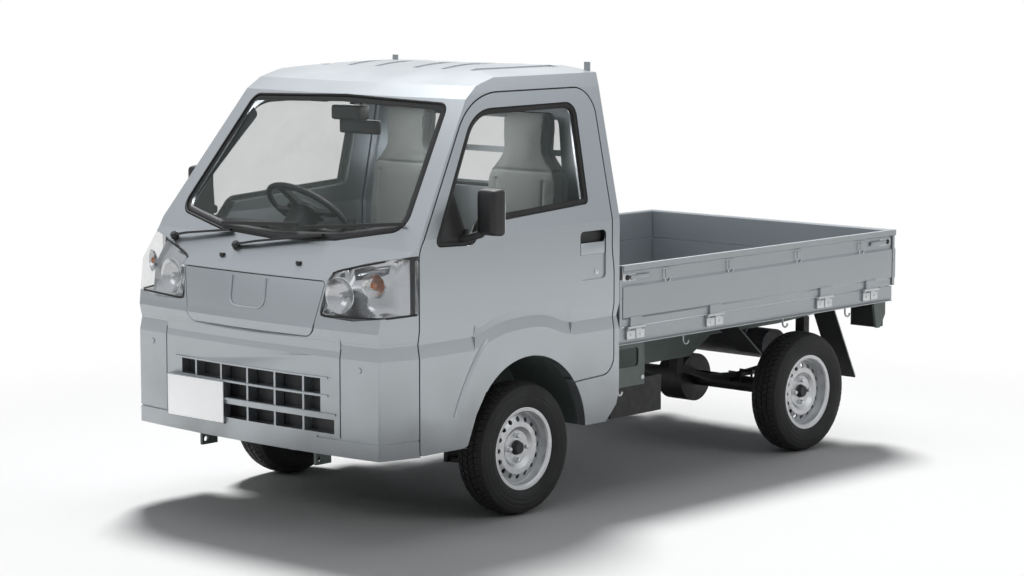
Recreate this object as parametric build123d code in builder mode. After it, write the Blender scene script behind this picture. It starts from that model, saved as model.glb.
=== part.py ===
import os
from math import atan, cos, radians, sin

from build123d import *

os.makedirs("parts", exist_ok=True)

# Overall sizes: the front is at -Y, the vehicle's left side at +X, the road at Z = 0
overall_length = 3395
wheelbase = 1900
front_overhang = 841
track = 1303
front_end = -overall_length / 2
rear_end = overall_length / 2
front_axle = front_end + front_overhang
rear_axle = front_axle + wheelbase

# Wheels
tyre_radius = 268
bolt_circle = 100
bolt_diameter = 12
arch_radius = 336
arch_centre = (front_axle + 6, 308)

# Clearances
fit = 0.3
panel_gap = 6

# Cab: distances along Y are from the front axle, heights from the road
cab_half_width = 737
cab_bottom = 321
cab_rear = front_axle + 552
cab_wall = 45
nose_y = front_end + 7.5
nose_height = 830
nose_top = (nose_y + 28.5, 990)
screen_base = (nose_y + 143.5, 1112)
screen_top = (nose_y + 551.5, 1665)
header = (nose_y + 620, 1712)
crown_height = 1780
roof_camber = 8
roof_groove_places = (-430, -270, -110, 110, 270, 430)
roof_groove_width = 48
crown = (nose_y + 1034, crown_height)
roof_rear_height = 1765
bow_radius = 6190
bow_angle = 9
crease_rows = [(0, 0), (700, 0), (752, 9), (805, 0), (1800, 0)]
crease_top = (cab_half_width + 0.5, 36)
crease_foot = (cab_half_width + 0.5, 52)
arch_crease = [
    (-314, 752),
    (-260, 764),
    (-180, 788),
    (-100, 799),
    (0, 804),
    (85, 799),
    (155, 782),
    (210, 762),
    (255, 752),
]
arch_edge = [(-427, 450), (-392, 530), (-345, 612), (-285, 695), (-240, 740)]
arch_edge_size = (14, 4)
corner_box_x = 498
corner_box_z = (392, 735)
groove = 7
belt_height = 1150
eaves = (622, 1685)
gutter = (607, 1743)
corner_run = 171
corner_half_width = 690
corner_radius = 44

# Doors
door_front = front_axle - 619
door_rear = cab_rear - 49
door_bottom = 324
door_top = 1684
door_flange = 12
door_inset = 20
jamb_depth = 18
jamb_lap = 10
glass_depth = 16
door_stops = [
    (door_front + 5, 600),
    (door_front + 5, 950),
    (door_rear + 7.5, 620),
    (door_rear + 7.5, 900),
]
door_stop = (6, 60)
glass_thickness = 5

# Cab panels
roof_split = 1716
header_split = 1600
pillar_split = 560
pillar_foot = 1195
cowl_reach = 90
bumper_top = 762
sill_height = 400
heel_rows = [(-82, 321), (-16, 387), (0, 442), (20, 442), (20, 300), (-82, 300)]
lid_thickness = 8
lid_gap = 3
screen_depth = 5
grille_rows = [(405, 460, 470), (485, 545, 400), (555, 615, 400)]
grille_bars = (-310, -155, 0, 155, 310)
grille_bar = 10
ledge_reach = 5
ledge_rows = [(476, 483, 478), (547, 553, 440), (617, 623, 440)]
plate_x = (-470, -132)
plate_z = (378, 548)
plate_rim = 4
plate_recess = 1.5

# Cab floor
floor_bottom = 375
floor_wall = 25
toe_board = nose_y + 90
toe_board_top = 758
riser = front_axle - 333
deck_bottom = 655
tub_x = 392
tub_wall = 12
tub_rear = front_axle + 366

# Door fittings
handle_centre = (cab_rear - 165, 1014)
handle_size = (159, 198)
handle_corner = 20
handle_depth = 7
pocket_depth = 32
pocket_height = 50
mirror_centre = (835, front_axle - 330, 1245)
mirror_size = (104, 70, 185)
mirror_corner = 22
mirror_foot_x = cab_half_width - 13
mirror_arm_z = 1158
mirror_arm = (44, 34)
sail_depth = 5

# Steering: the column leans back by its rake from the vertical
wheel_hub = (-340, front_axle - 180, 1170)
column_rake = 38.4
column_axis = (0, sin(radians(column_rake)), cos(radians(column_rake)))
column_length = 560
column_radius = 28
steering_radius = 175
rim_thickness = 26
spoke_drop = 18
spoke_thickness = 18
dash_rows = [
    (nose_y + 130, 1085, 0),
    (nose_y + 360, 1095, 40),
    (nose_y + 370, 850, 40),
    (nose_y + 330, 720, 20),
    (nose_y + 20, 780, 0),
]

# Seats: outlines in side view, and the backs' outline in front view
seat_x = 340
seat_width = 470
cushion_rows = [
    (front_axle + 350, 680.3, 20),
    (front_axle - 110, 680.3, 30),
    (front_axle - 110, 850, 40),
    (front_axle + 350, 820, 20),
]
back_side_rows = [
    (front_axle + 350 + fit, 680.3, 20),
    (front_axle + 470, 680.3, 20),
    (front_axle + 490, 1600, 30),
    (front_axle + 400, 1600, 40),
]
back_front_rows = [
    (seat_x - seat_width / 2, 670, 0),
    (seat_x + seat_width / 2, 670, 0),
    (seat_x + seat_width / 2 - 30, 1340, 80),
    (seat_x + 125, 1420, 60),
    (seat_x + 115, 1610, 60),
    (seat_x - 115, 1610, 60),
    (seat_x - 125, 1420, 60),
    (seat_x - seat_width / 2 + 30, 1340, 80),
]

# Load bed
bed_gap = 13
bed_front = cab_rear + bed_gap
bed_length = 1940
bed_half_width = 705
bed_floor_top = 667
bed_wall_height = 285
bed_top = bed_floor_top + bed_wall_height
headboard_wall = 17
bed_inner_front = bed_front + headboard_wall
bed_inner_rear = bed_inner_front + bed_length
sill_top = 690
sill_bottom = 622
gate_bottom = sill_top + 5
gate_rib = 815

gate_thickness = 23
gate_outer = bed_half_width + gate_thickness
sill_wall = 12
hinge_x = gate_outer + 3
barrel_radius = 6
bed_plate = 12
groove_places = (-560, -280, 0, 280, 560)
bed_groove = (24, 4)
hook_seat = 40
gate_stop = 40
gate_stop_inset = 60
hinge_leaf = 110
hinge_strap = 76
ear_places = (-48, 48)
ear_width = 14
cross_width = 60
hinge_places = (bed_front + 105, bed_front + 635, bed_front + 1430, bed_front + 1785)
tail_hinge_places = (-450, 450)
hook_places = (bed_front + 315, bed_front + 745, bed_front + 1235, bed_front + 1715)
guard_y = (cab_rear + 2, bed_front - fit)
guard_half_width = 565
guard_bar = 25
guard_bars = (1120, 1250, 1400, 1550, 1688)

# Frame: outlines in side view, and the cross members' places, lowest and highest values
rail_x = 330
rail_width = 50
rail_top_front = floor_bottom - fit
rail_top_mid = 560
rail_bottom_front = 350
rail_top_rear = 620
rail_rows = [
    (nose_y + 100, rail_top_front, 0),
    (riser + 10, rail_top_front, 0),
    (riser + 130, 450, 0),
    (cab_rear - 146, 450, 0),
    (cab_rear + 5, rail_top_mid, 0),
    (rear_axle - 424, rail_top_mid, 0),
    (rear_axle - 284, rail_top_rear, 0),
    (rear_end - 57, rail_top_rear, 0),
    (rear_end - 57, 540, 0),
    (rear_axle + 246, 520, 0),
    (rear_axle - 254, 520, 0),
    (rear_axle - 404, 440, 0),
    (cab_rear + 35, 440, 0),
    (cab_rear - 126, rail_bottom_front, 0),
    (riser + 170, rail_bottom_front, 0),
    (riser + 40, 300, 0),
    (nose_y + 100, 300, 0),
]
spring_bracket_y = (cab_rear + 508, cab_rear + 628)
rear_bracket_rows = [
    (rear_end - 143, bed_floor_top - bed_plate - fit, 0),
    (rear_end - 43, bed_floor_top - bed_plate - fit, 0),
    (rear_end - 43, 560, 10),
    (rear_end - 83, 500, 10),
    (rear_end - 113, 500, 10),
]
engine_bottom = 300
tow_eye = (nose_y + 70, 285)
tow_eye_radius = 12
tow_eye_wall = 12
member_rows = [
    (nose_y + 140, 305, 365),
    (rear_axle - 500, 450, 550),
    (rear_axle + 330, 530, 610),
    (rear_end - 100, 545, 610),
]
engine_member_places = (front_axle - 130, front_axle + 350)
engine_member_bottom = 260
cross_rows = [
    (bed_front + 60, rail_top_mid),
    (bed_front + 400, rail_top_mid),
    (rear_axle - 480, rail_top_mid),
    (rear_axle - 150, rail_top_rear + 1),
    (rear_axle + 150, rail_top_rear + 1),
    (rear_axle + 480, rail_top_rear + 1),
]
spring_rows = [
    (rear_axle - 480, 405, 0),
    (rear_axle - 240, 335, 0),
    (rear_axle, 318, 0),
    (rear_axle + 240, 335, 0),
    (rear_axle + 480, 405, 0),
    (rear_axle + 480, 385, 0),
    (rear_axle + 240, 312, 0),
    (rear_axle + 60, tyre_radius + 35 + fit, 0),
    (rear_axle - 60, tyre_radius + 35 + fit, 0),
    (rear_axle - 240, 312, 0),
    (rear_axle - 480, 385, 0),
]
guard_x = (580, 704)
tail_lamp_x = (540, 680)
tail_lamp_bottom = 500
mud_top = bed_floor_top - bed_plate - fit
guard_rows = [
    (rear_axle - 560, mud_top, 0),
    (rear_axle - 552, mud_top, 0),
    (rear_axle - 340, 484, 0),
    (rear_axle - 346, 478, 0),
]
flap_rows = [
    (rear_axle + 181, mud_top, 0),
    (rear_axle + 188, mud_top, 0),
    (rear_axle + 376, 292, 0),
    (rear_axle + 370, 290, 0),
]
hanger_rows = [(rear_axle - 470, 370, 440 - fit), (rear_axle + 470, 370, 530 - fit)]
kingpin_lean = 0.2187
kingpin_angle = atan(kingpin_lean)
strut_top = (500, arch_centre[1] + arch_radius - 5.8)
strut_radius = 25
strut_foot = 400
arm_top = 196
ball_joint_radius = 16
hub_rows = [(fit, 16, 60), (14, 45, 65), (16, 12, 110)]
hub_face = track / 2 + 10

# Wheel sections: distance along the axle, radius, corner radius
tyre_rows = [
    (-49.7, 153, 0),
    (-53.7, 166.3, 0),
    (-58, 166.3, 0),
    (-69, 190, 0),
    (-72.5, 217, 0),
    (-69, 246, 0),
    (-54, 263, 0),
    (-30, tyre_radius, 0),
]
rim_rows = [
    (10, 28, 0),
    (10, 70, 0),
    (22, 88, 0),
    (22, 104, 0),
    (8, 140, 0),
    (8, 146.5, 0),
    (-50, 146.5, 0),
    (-56, 152, 0),
    (-58, 163, 0),
    (-58, 166, 0),
    (-54, 166, 0),
    (-50, 152.7, 0),
    (50, 152.7, 0),
    (54, 166, 0),
    (58, 166, 0),
    (58, 163, 0),
    (56, 152, 0),
    (50, 146.5, 0),
    (14, 146.5, 0),
    (14, 142, 0),
    (28, 106, 0),
    (28, 86, 0),
    (16, 68, 0),
    (16, 28, 0),
]
wiper_rows = [
    ((-571, nose_y + 128, 1090), (60, nose_y + 168, 1165), 70),
    ((-173, nose_y + 104, 1082), (560, nose_y + 200, 1175), 70),
]


def outline(rows):
    """A closed line through rows of two coordinates and the radius that rounds the corner."""
    points = [(row[0], row[1]) for row in rows]
    radii = [row[2] for row in rows]
    with BuildLine(mode=Mode.PRIVATE) as line:
        if any(radii):
            FilletPolyline(*points, radius=radii, close=True)
        else:
            Polyline(*points, close=True)
    return line.line


def plan_outline(inset):
    """The cab's outline from above, moved inwards by inset."""
    bend = nose_y + 38.5 + corner_run
    side = cab_half_width - inset
    half = [
        (side, cab_rear - inset, 0),
        (side, bend, 0),
        (corner_half_width - inset, bend - corner_run, max(corner_radius - inset, 0)),
        (corner_half_width - 90, nose_y - 40, 0),
    ]
    return outline(half + [(-x, y, r) for x, y, r in reversed(half)])


def cab_envelope(inset, creased=True):
    """The cab's outer surface, moved inwards by inset, with or without the crease across its front."""
    layers = [(z, plan_outline(inset + depth)) for z, depth in crease_rows]
    with BuildPart() as plan:
        for z, line in layers:
            with BuildSketch(Plane.XY.offset(z)):
                with BuildLine():
                    add(line)
                make_face()
        loft(ruled=True)
    plan_solid = plan.part
    axis_y = nose_y + bow_radius
    swing = Plane(
        origin=(0, axis_y, 0),
        x_dir=(sin(radians(bow_angle)), cos(radians(bow_angle)), 0),
        z_dir=(cos(radians(bow_angle)), -sin(radians(bow_angle)), 0),
    )
    with BuildPart() as envelope:
        with BuildSketch(swing):
            with BuildLine():
                crease = [(nose_y + depth, z) for z, depth in crease_rows[1:4]] if creased else []
                nose = [(nose_y, 0), *crease, (nose_y + 5, nose_height), nose_top]
                Polyline(*[(y - axis_y, z) for y, z in nose + [screen_base, screen_top, header]])
                ThreePointArc(
                    (header[0] - axis_y, header[1]),
                    (header[0] - axis_y + 185, header[1] + 46),
                    (crown[0] - axis_y, crown[1]),
                )
                Polyline(
                    (crown[0] - axis_y, crown[1]),
                    (cab_rear + 10 - axis_y, roof_rear_height),
                    (cab_rear + 300 - axis_y, roof_rear_height - 20),
                    (cab_rear + 300 - axis_y, 0),
                    (nose_y - axis_y, 0),
                )
            make_face()
            if inset:
                offset(amount=-inset, kind=Kind.INTERSECTION)
        revolve(axis=Axis((0, axis_y, 0), (0, 0, 1)), revolution_arc=2 * bow_angle)
        with BuildSketch(Plane.XZ):
            with BuildLine():
                half = [
                    (cab_half_width, 0),
                    (cab_half_width, belt_height),
                    eaves,
                    gutter,
                ]
                Polyline(*half)
                ThreePointArc(gutter, (0, crown_height + roof_camber), (-gutter[0], gutter[1]))
                Polyline(*[(-x, z) for x, z in reversed(half)])
                Line((-cab_half_width, 0), (cab_half_width, 0))
            make_face()
            if inset:
                offset(amount=-inset, kind=Kind.INTERSECTION)
        extrude(amount=overall_length, both=True, mode=Mode.INTERSECT)
        add(plan_solid, mode=Mode.INTERSECT)
    return envelope.part


def slab(rows, grow=0):
    """A prism across the whole cab whose outline is given in side view."""
    with BuildPart() as prism:
        with BuildSketch(Plane.YZ):
            with BuildLine():
                add(outline(rows))
            make_face()
            if grow:
                offset(amount=grow, kind=Kind.INTERSECTION)
        extrude(amount=cab_half_width + 10, both=True)
    return prism.part


# Side view outlines: y, z, corner radius
door_rows = [
    (door_front, door_bottom, 15),
    (door_front, 1112, 120),
    (door_front + 402.5, door_top, 300),
    (door_rear, door_top, 110),
    (door_rear, 1030, 250),
    (door_rear + 12.5, 940, 250),
    (door_rear + 12.5, 521, 70),
    (door_rear - 220, 511, 0),
    (door_front + 239, door_bottom, 0),
]
window_rows = [
    (door_front + 72, 1118, 25),
    (door_front + 300, 1110, 40),
    (door_front + 355, 1186, 40),
    (door_rear - 128, 1222, 25),
    (door_rear - 112, 1632, 55),
    (door_front + 405, 1626, 200),
]
sail_rows = [
    (door_front + 60, 1100, 0),
    (door_front + 262, 1100, 0),
    (door_front + 262, 1180, 0),
    (door_front + 205, 1400, 0),
    (door_front + 60, 1400, 0),
]
arch_rows = [
    (front_axle - 385, cab_bottom - 60, 0),
    (front_axle - 306, 447, 0),
    (front_axle - 250, 530, 0),
    (front_axle + 150, 600, 0),
    (front_axle + 308, 400, 0),
    (front_axle + 299, 343, 60),
    (front_axle + 255, 300, 20),
    (front_axle + 255, cab_bottom - 60, 0),
]
# Front view outlines: x, z, corner radius
screen_rows = [
    (650, 1180, 60),
    (556, 1650, 50),
    (0, 1666, 0),
    (-556, 1650, 50),
    (-650, 1180, 60),
    (-330, 1126, 0),
    (0, 1112, 0),
    (330, 1126, 0),
]
rear_window_rows = [(470, 1240, 60), (440, 1570, 60), (-440, 1570, 60), (-470, 1240, 60)]
lid_rows = [(403, 985, 12), (352, 772, 45), (-352, 772, 45), (-403, 985, 12)]
lamp_rows = [(420, 1024, 25), (386, 852, 25), (560, 846, 0), (780, 874, 0), (780, 1102, 0), (560, 1062, 0)]


def front_prism(rows, near, far, grow=0):
    """A prism along Y, from near to far, whose outline is given in front view."""
    with BuildPart() as prism:
        with BuildSketch(Plane.XZ.offset(-near)):
            with BuildLine():
                add(outline(rows))
            make_face()
            if grow:
                offset(amount=grow, kind=Kind.INTERSECTION)
        extrude(amount=near - far)
    return prism.part


def block(x, y, z):
    """A box given by its lowest and highest values along X, Y and Z."""
    with BuildPart() as box:
        with Locations((x[0], y[0], z[0])):
            Box(x[1] - x[0], y[1] - y[0], z[1] - z[0], align=(Align.MIN, Align.MIN, Align.MIN))
    return box.part


def save(piece, name):
    """Writes one finished piece."""
    piece.part.label = name
    export_step(piece.part, f"parts/{name}.step")


smooth = cab_envelope(0)
screen_skin = cab_envelope(screen_depth)
skin_clear = cab_envelope(-fit)
inner = cab_envelope(cab_wall)
room = cab_envelope(cab_wall + fit)
under_skin = cab_envelope(jamb_depth)
under_flange = cab_envelope(door_flange)
lid_skin = cab_envelope(lid_thickness)
lid_seat = cab_envelope(lid_thickness + fit)
glass_skin = cab_envelope(glass_depth)
glass_back = cab_envelope(glass_depth + glass_thickness)
glass_clear = cab_envelope(glass_depth - fit)
sail_skin = cab_envelope(sail_depth)
screen_back = cab_envelope(screen_depth + glass_thickness)

# Creases: the one along the sides rises over the wheel, and the front's middle has none
flat_front = cab_envelope(0, creased=False)
middle = block((-corner_box_x, corner_box_x), (front_end, toe_board), (corner_box_z[0], crease_rows[3][0]))
front_fill = flat_front & middle
wheel_span = (front_axle + arch_crease[0][0], front_axle + arch_crease[-1][0])
crease_span = (crease_rows[1][0], crease_rows[3][0])
side_fill = block((cab_half_width - 12, cab_half_width), wheel_span, crease_span)
with BuildPart() as arch_groove:
    with BuildLine() as crease_path:
        Spline(*[(cab_half_width, front_axle + y, z) for y, z in arch_crease])
    with BuildSketch(Plane(origin=crease_path.line @ 0, x_dir=(1, 0, 0), z_dir=crease_path.line % 0)):
        with BuildLine():
            Polyline((-crease_rows[2][1], 0), (1, -crease_top[1]), (1, crease_foot[1]), close=True)
        make_face()
    sweep(path=crease_path.line)

with BuildPart() as arch_bevel:
    with BuildLine() as edge_path:
        Spline(*[(cab_half_width, front_axle + y, z) for y, z in arch_edge])
    with BuildSketch(Plane(origin=edge_path.line @ 0, x_dir=(1, 0, 0), z_dir=edge_path.line % 0)):
        with BuildLine():
            Polyline((-arch_edge_size[1], 0), (1, -arch_edge_size[0]), (1, arch_edge_size[0]), close=True)
        make_face()
    sweep(path=edge_path.line)

groove_layer = smooth - screen_skin
front_grooves = [
    block((corner_box_x, corner_box_x + groove), (front_end, toe_board), corner_box_z),
    block((-corner_box_x - groove, -corner_box_x), (front_end, toe_board), corner_box_z),
    block((380, cab_half_width), (front_end, door_front), (corner_box_z[0] - groove, corner_box_z[0])),
    block((-cab_half_width, -380), (front_end, door_front), (corner_box_z[0] - groove, corner_box_z[0])),
]
roof_grooves = []
for x in roof_groove_places:
    groove_x = (x - roof_groove_width / 2, x + roof_groove_width / 2)
    roof_grooves.append(block(groove_x, (front_axle + 10, cab_rear - 60), (roof_split, crown_height + 10)))
groove_tools = [groove_layer & box for box in front_grooves + roof_grooves]
with BuildPart() as shaped:
    add(smooth)
    add(front_fill)
    add(side_fill)
    mirror(side_fill, about=Plane.YZ)
    for tool in (arch_groove.part, arch_bevel.part):
        add(tool, mode=Mode.SUBTRACT)
        mirror(tool, about=Plane.YZ, mode=Mode.SUBTRACT)
    for tool in groove_tools:
        add(tool, mode=Mode.SUBTRACT)
outer = shaped.part

# Front wheel arch, cut through the doors and the sills
with BuildPart() as arch:
    with BuildSketch(Plane.YZ):
        with BuildLine():
            add(outline(arch_rows))
        make_face()
        with Locations(arch_centre):
            Circle(arch_radius)
    extrude(amount=cab_half_width + 10, both=True)
tub_gap = block((-tub_x, tub_x), (front_end, rear_end), (0, crown_height))
arch_sides = arch.part - tub_gap

# Bevel round the lid's sides and foot
with BuildPart() as lid_bevel:
    for y, grow in ((front_end - 1, 30), (nose_y + 16, lid_gap)):
        with BuildSketch(Plane.XZ.offset(-y)):
            with BuildLine():
                add(outline(lid_rows))
            make_face()
            offset(amount=grow, kind=Kind.INTERSECTION)
    loft(ruled=True)
lid_room = front_prism(lid_rows, cab_rear - 300, front_end - 10, lid_gap)
above_bevel = block((-cab_half_width, cab_half_width), (front_end - 10, toe_board), (950, crown_height))
lid_bevel_cut = lid_bevel.part - lid_room - above_bevel

# Lower rear corner of the cab's sides
heel_cut = slab([(cab_rear + y, z, 0) for y, z in heel_rows])

# Cab shell with its door apertures, each with a jamb that laps behind the door's flange
jamb_cut = slab(door_rows, -jamb_lap)
skin_cut = slab(door_rows, panel_gap) - under_skin
screen_cut = front_prism(screen_rows, cab_rear - 300, front_end - 10)
rear_window_cut = front_prism(rear_window_rows, cab_rear + 10, cab_rear - 200)
with BuildPart() as body:
    add(outer)
    for cut in (inner, arch_sides, jamb_cut, skin_cut, screen_cut, rear_window_cut, lid_bevel_cut, heel_cut):
        add(cut, mode=Mode.SUBTRACT)
    for y, z in door_stops:
        for side in (-1, 1):
            stop_foot = side * (cab_half_width - jamb_depth - 3)
            stop = sorted((stop_foot, side * (cab_half_width - door_flange - fit)))
            stop_y = (y - door_stop[0] / 2, y + door_stop[0] / 2)
            stop_z = (z - door_stop[1] / 2, z + door_stop[1] / 2)
            add(block(stop, stop_y, stop_z))

# Cab panels: each takes its own region of the shell
lid_cut = front_prism(lid_rows, cab_rear - 300, front_end - 10, lid_gap) - lid_seat
lid_region = front_prism(lid_rows, cab_rear - 300, front_end - 10)
lamp_region = front_prism(lamp_rows, door_front - panel_gap, front_end - 10)
lamp_regions = [lamp_region, mirror(lamp_region, Plane.YZ)]
ahead = (front_end - 10, door_front + cowl_reach)
beyond = (front_end - 10, cab_rear + 10)
roof_region = [
    block((-cab_half_width, cab_half_width), beyond, (roof_split, crown_height + 10)),
    block((-pillar_split, pillar_split), (front_end, cab_rear - 300), (header_split, roof_split)),
]
front_region = block((-cab_half_width, cab_half_width), ahead, (bumper_top + fit, pillar_foot))
bumper_region = block((-cab_half_width, cab_half_width), ahead, (cab_bottom, bumper_top))
rear_region = block((-pillar_split, pillar_split), (cab_rear - 60, cab_rear + 10), (deck_bottom, roof_split))
sill_region = block((-cab_half_width, cab_half_width), (ahead[1] - 1, front_axle), (cab_bottom, sill_height))
side_rows = [
    (front_end, pillar_foot, 0),
    (front_axle, pillar_foot, 0),
    (front_axle, cab_bottom, 0),
    (cab_rear + 10, cab_bottom, 0),
    (cab_rear + 10, roof_split, 0),
    (front_end, roof_split, 0),
]
side_room = block((pillar_split, cab_half_width + 1), beyond, (0, crown_height))
side_region = slab(side_rows) & side_room

with BuildPart() as cab_roof:
    for region in roof_region:
        add(region)
    add(body.part, mode=Mode.INTERSECT)

with BuildPart() as front_panel:
    add(body.part)
    add(front_region, mode=Mode.INTERSECT)
    add(lid_cut, mode=Mode.SUBTRACT)
    for lamp in lamp_regions:
        add(lamp, mode=Mode.SUBTRACT)

ledge_skin = cab_envelope(-ledge_reach) - cab_envelope(1)
ledges = []
for low, high, half_width in ledge_rows:
    ledges.append(ledge_skin & block((-half_width, half_width), (front_end, toe_board), (low, high)))
grille_height = 2 * cab_wall + grille_rows[-1][1] - grille_rows[0][0]
with BuildPart() as bumper:
    add(bumper_region)
    add(sill_region)
    add(body.part, mode=Mode.INTERSECT)
    with BuildSketch(Plane.XZ.offset(-front_axle)):
        for low, high, half_width in grille_rows:
            with Locations((0, (low + high) / 2)):
                Rectangle(2 * half_width, high - low)
        for x in grille_bars:
            with Locations((x, (grille_rows[0][0] + grille_rows[-1][1]) / 2)):
                Rectangle(grille_bar, grille_height, mode=Mode.SUBTRACT)
    extrude(amount=overall_length, mode=Mode.SUBTRACT)
    for tool in ledges:
        add(tool)
    add(block(plate_x, (front_end, nose_y + 20), plate_z))
    plate_face_x = (plate_x[0] + plate_rim, plate_x[1] - plate_rim)
    plate_face_z = (plate_z[0] + plate_rim, plate_z[1] - plate_rim)
    add(block(plate_face_x, (front_end - 1, front_end + plate_recess), plate_face_z), mode=Mode.SUBTRACT)

with BuildPart() as cab_side_left:
    add(body.part)
    add(side_region, mode=Mode.INTERSECT)

with BuildPart() as cab_side_right:
    mirror(cab_side_left.part, about=Plane.YZ)

with BuildPart() as cab_rear_wall:
    add(body.part)
    add(rear_region, mode=Mode.INTERSECT)

with BuildPart() as garnish_lid:
    add(lid_region)
    add(outer, mode=Mode.INTERSECT)
    add(lid_skin, mode=Mode.SUBTRACT)

lamp_fill = outer - inner
with BuildPart() as headlamp_left:
    add(front_prism(lamp_rows, door_front - panel_gap, front_end - 10, -fit))
    add(lamp_fill, mode=Mode.INTERSECT)

with BuildPart() as headlamps:
    add(headlamp_left.part)
    mirror(headlamp_left.part, about=Plane.YZ)

with BuildPart() as windscreen:
    add(front_prism(screen_rows, cab_rear - 300, front_end - 10, -fit))
    add(screen_skin, mode=Mode.INTERSECT)
    add(screen_back, mode=Mode.SUBTRACT)

with BuildPart() as rear_window:
    add(front_prism(rear_window_rows, cab_rear + 10, cab_rear - 200, -fit))
    add(screen_skin, mode=Mode.INTERSECT)
    add(screen_back, mode=Mode.SUBTRACT)

# Doors: an outer flange over an inner box, with the window cut through both
left_side = block((pillar_split - 60, cab_half_width + 1), beyond, (0, crown_height))
door_skin = slab(door_rows) - under_flange
door_box = slab(door_rows, -door_inset)
window_cut = slab(window_rows)
with BuildPart() as door_left:
    add(door_skin)
    add(door_box)
    add(outer, mode=Mode.INTERSECT)
    for cut in (inner, window_cut, arch.part):
        add(cut, mode=Mode.SUBTRACT)
    add(left_side, mode=Mode.INTERSECT)
    with BuildSketch(Plane.YZ.offset(cab_half_width - handle_depth)):
        with Locations(handle_centre):
            RectangleRounded(handle_size[0], handle_size[1], handle_corner)
    extrude(amount=handle_depth, mode=Mode.SUBTRACT)
    with BuildSketch(Plane.YZ.offset(cab_half_width - pocket_depth)):
        with Locations((handle_centre[0], handle_centre[1] + (handle_size[1] - pocket_height) / 2)):
            RectangleRounded(handle_size[0], pocket_height, handle_corner)
    extrude(amount=pocket_depth, mode=Mode.SUBTRACT)

with BuildPart() as door_right:
    mirror(door_left.part, about=Plane.YZ)

with BuildPart() as door_glass_left:
    add(slab(window_rows, -fit))
    add(glass_skin, mode=Mode.INTERSECT)
    add(glass_back, mode=Mode.SUBTRACT)
    add(left_side, mode=Mode.INTERSECT)

with BuildPart() as door_glass_right:
    mirror(door_glass_left.part, about=Plane.YZ)

# Mirrors: a rounded housing on an arm that stands on a sail plate in the window's front corner
sail_region = slab(sail_rows) & slab(window_rows, -fit)
with BuildPart() as mirror_left:
    add(sail_region)
    add(sail_skin, mode=Mode.INTERSECT)
    add(glass_clear, mode=Mode.SUBTRACT)
    add(left_side, mode=Mode.INTERSECT)
    with BuildSketch(Plane.XZ.offset(-(mirror_centre[1] - mirror_size[1] / 2))):
        with Locations((mirror_centre[0], mirror_centre[2])):
            RectangleRounded(mirror_size[0], mirror_size[2], mirror_corner)
    extrude(amount=-mirror_size[1])
    with BuildSketch(Plane.YZ.offset(mirror_foot_x)):
        with Locations((mirror_centre[1] - 25, mirror_arm_z)):
            RectangleRounded(mirror_arm[0], mirror_arm[1], mirror_arm[1] / 3)
    extrude(amount=mirror_centre[0] - mirror_foot_x)

with BuildPart() as mirror_right:
    mirror(mirror_left.part, about=Plane.YZ)

# Floor: footwell, toe board, seat box and the wheelhouses, trimmed to the shell
floor_cut = cab_half_width - cab_wall - 5
with BuildPart() as cab_floor:
    add(block((-floor_cut, floor_cut), (front_end, riser), (floor_bottom, floor_bottom + floor_wall)))
    add(block((-floor_cut, floor_cut), (toe_board, toe_board + floor_wall), (floor_bottom, toe_board_top)))
    add(block((-floor_cut, floor_cut), (riser - floor_wall, riser), (floor_bottom, deck_bottom + floor_wall)))
    add(block((-floor_cut, floor_cut), (riser, cab_rear), (deck_bottom, deck_bottom + floor_wall)))
    add(room, mode=Mode.INTERSECT)

with BuildPart() as wheelhouse:
    add(block((tub_x - tub_wall, floor_cut), (riser, tub_rear), (cab_bottom, deck_bottom)))
    add(arch_sides, mode=Mode.SUBTRACT)

with BuildPart() as cab_floor_whole:
    add(cab_floor.part)
    add(wheelhouse.part)
    mirror(wheelhouse.part, about=Plane.YZ)

# Dashboard with the steering column
column_top = Vector(wheel_hub) - Vector(column_axis) * (spoke_drop + fit)
with BuildPart() as dashboard:
    with BuildSketch(Plane.YZ):
        with BuildLine():
            add(outline(dash_rows))
        make_face()
    extrude(amount=floor_cut - 10, both=True)
    add(room, mode=Mode.INTERSECT)
    with BuildSketch(Plane(origin=column_top, z_dir=column_axis)):
        Circle(column_radius)
    extrude(amount=-column_length)
    with BuildSketch(Plane(origin=column_top, z_dir=column_axis)):
        RectangleRounded(110, 90, 20)
    extrude(amount=-column_length / 2)

# Steering wheel: rim, boss and three spokes
with BuildPart() as steering_wheel:
    with BuildSketch(Plane(origin=wheel_hub, z_dir=column_axis, x_dir=(1, 0, 0)).rotated((90, 0, 0))):
        with Locations((steering_radius, 0)):
            Circle(rim_thickness / 2)
    revolve(axis=Axis(wheel_hub, column_axis))
    with BuildSketch(Plane(origin=wheel_hub, z_dir=column_axis, x_dir=(1, 0, 0)).offset(-spoke_drop)):
        RectangleRounded(150, 120, 30)
        Rectangle(2 * steering_radius - rim_thickness / 2, 30)
        with Locations((0, -steering_radius / 2)):
            Rectangle(40, steering_radius)
    extrude(amount=spoke_thickness)

# Seats
with BuildPart() as seat_cushion:
    with BuildSketch(Plane.YZ.offset(seat_x - seat_width / 2)):
        with BuildLine():
            add(outline(cushion_rows))
        make_face()
    extrude(amount=seat_width)

with BuildPart() as seat_back:
    with BuildSketch(Plane.XZ.offset(-cab_rear)):
        with BuildLine():
            add(outline(back_front_rows))
        make_face()
    extrude(amount=600)
    with BuildSketch(Plane.YZ):
        with BuildLine():
            add(outline(back_side_rows))
        make_face()
    extrude(amount=cab_half_width, both=True, mode=Mode.INTERSECT)

with BuildPart() as seat_cushions:
    add(seat_cushion.part)
    mirror(seat_cushion.part, about=Plane.YZ)

with BuildPart() as seat_backs:
    add(seat_back.part)
    mirror(seat_back.part, about=Plane.YZ)

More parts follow.
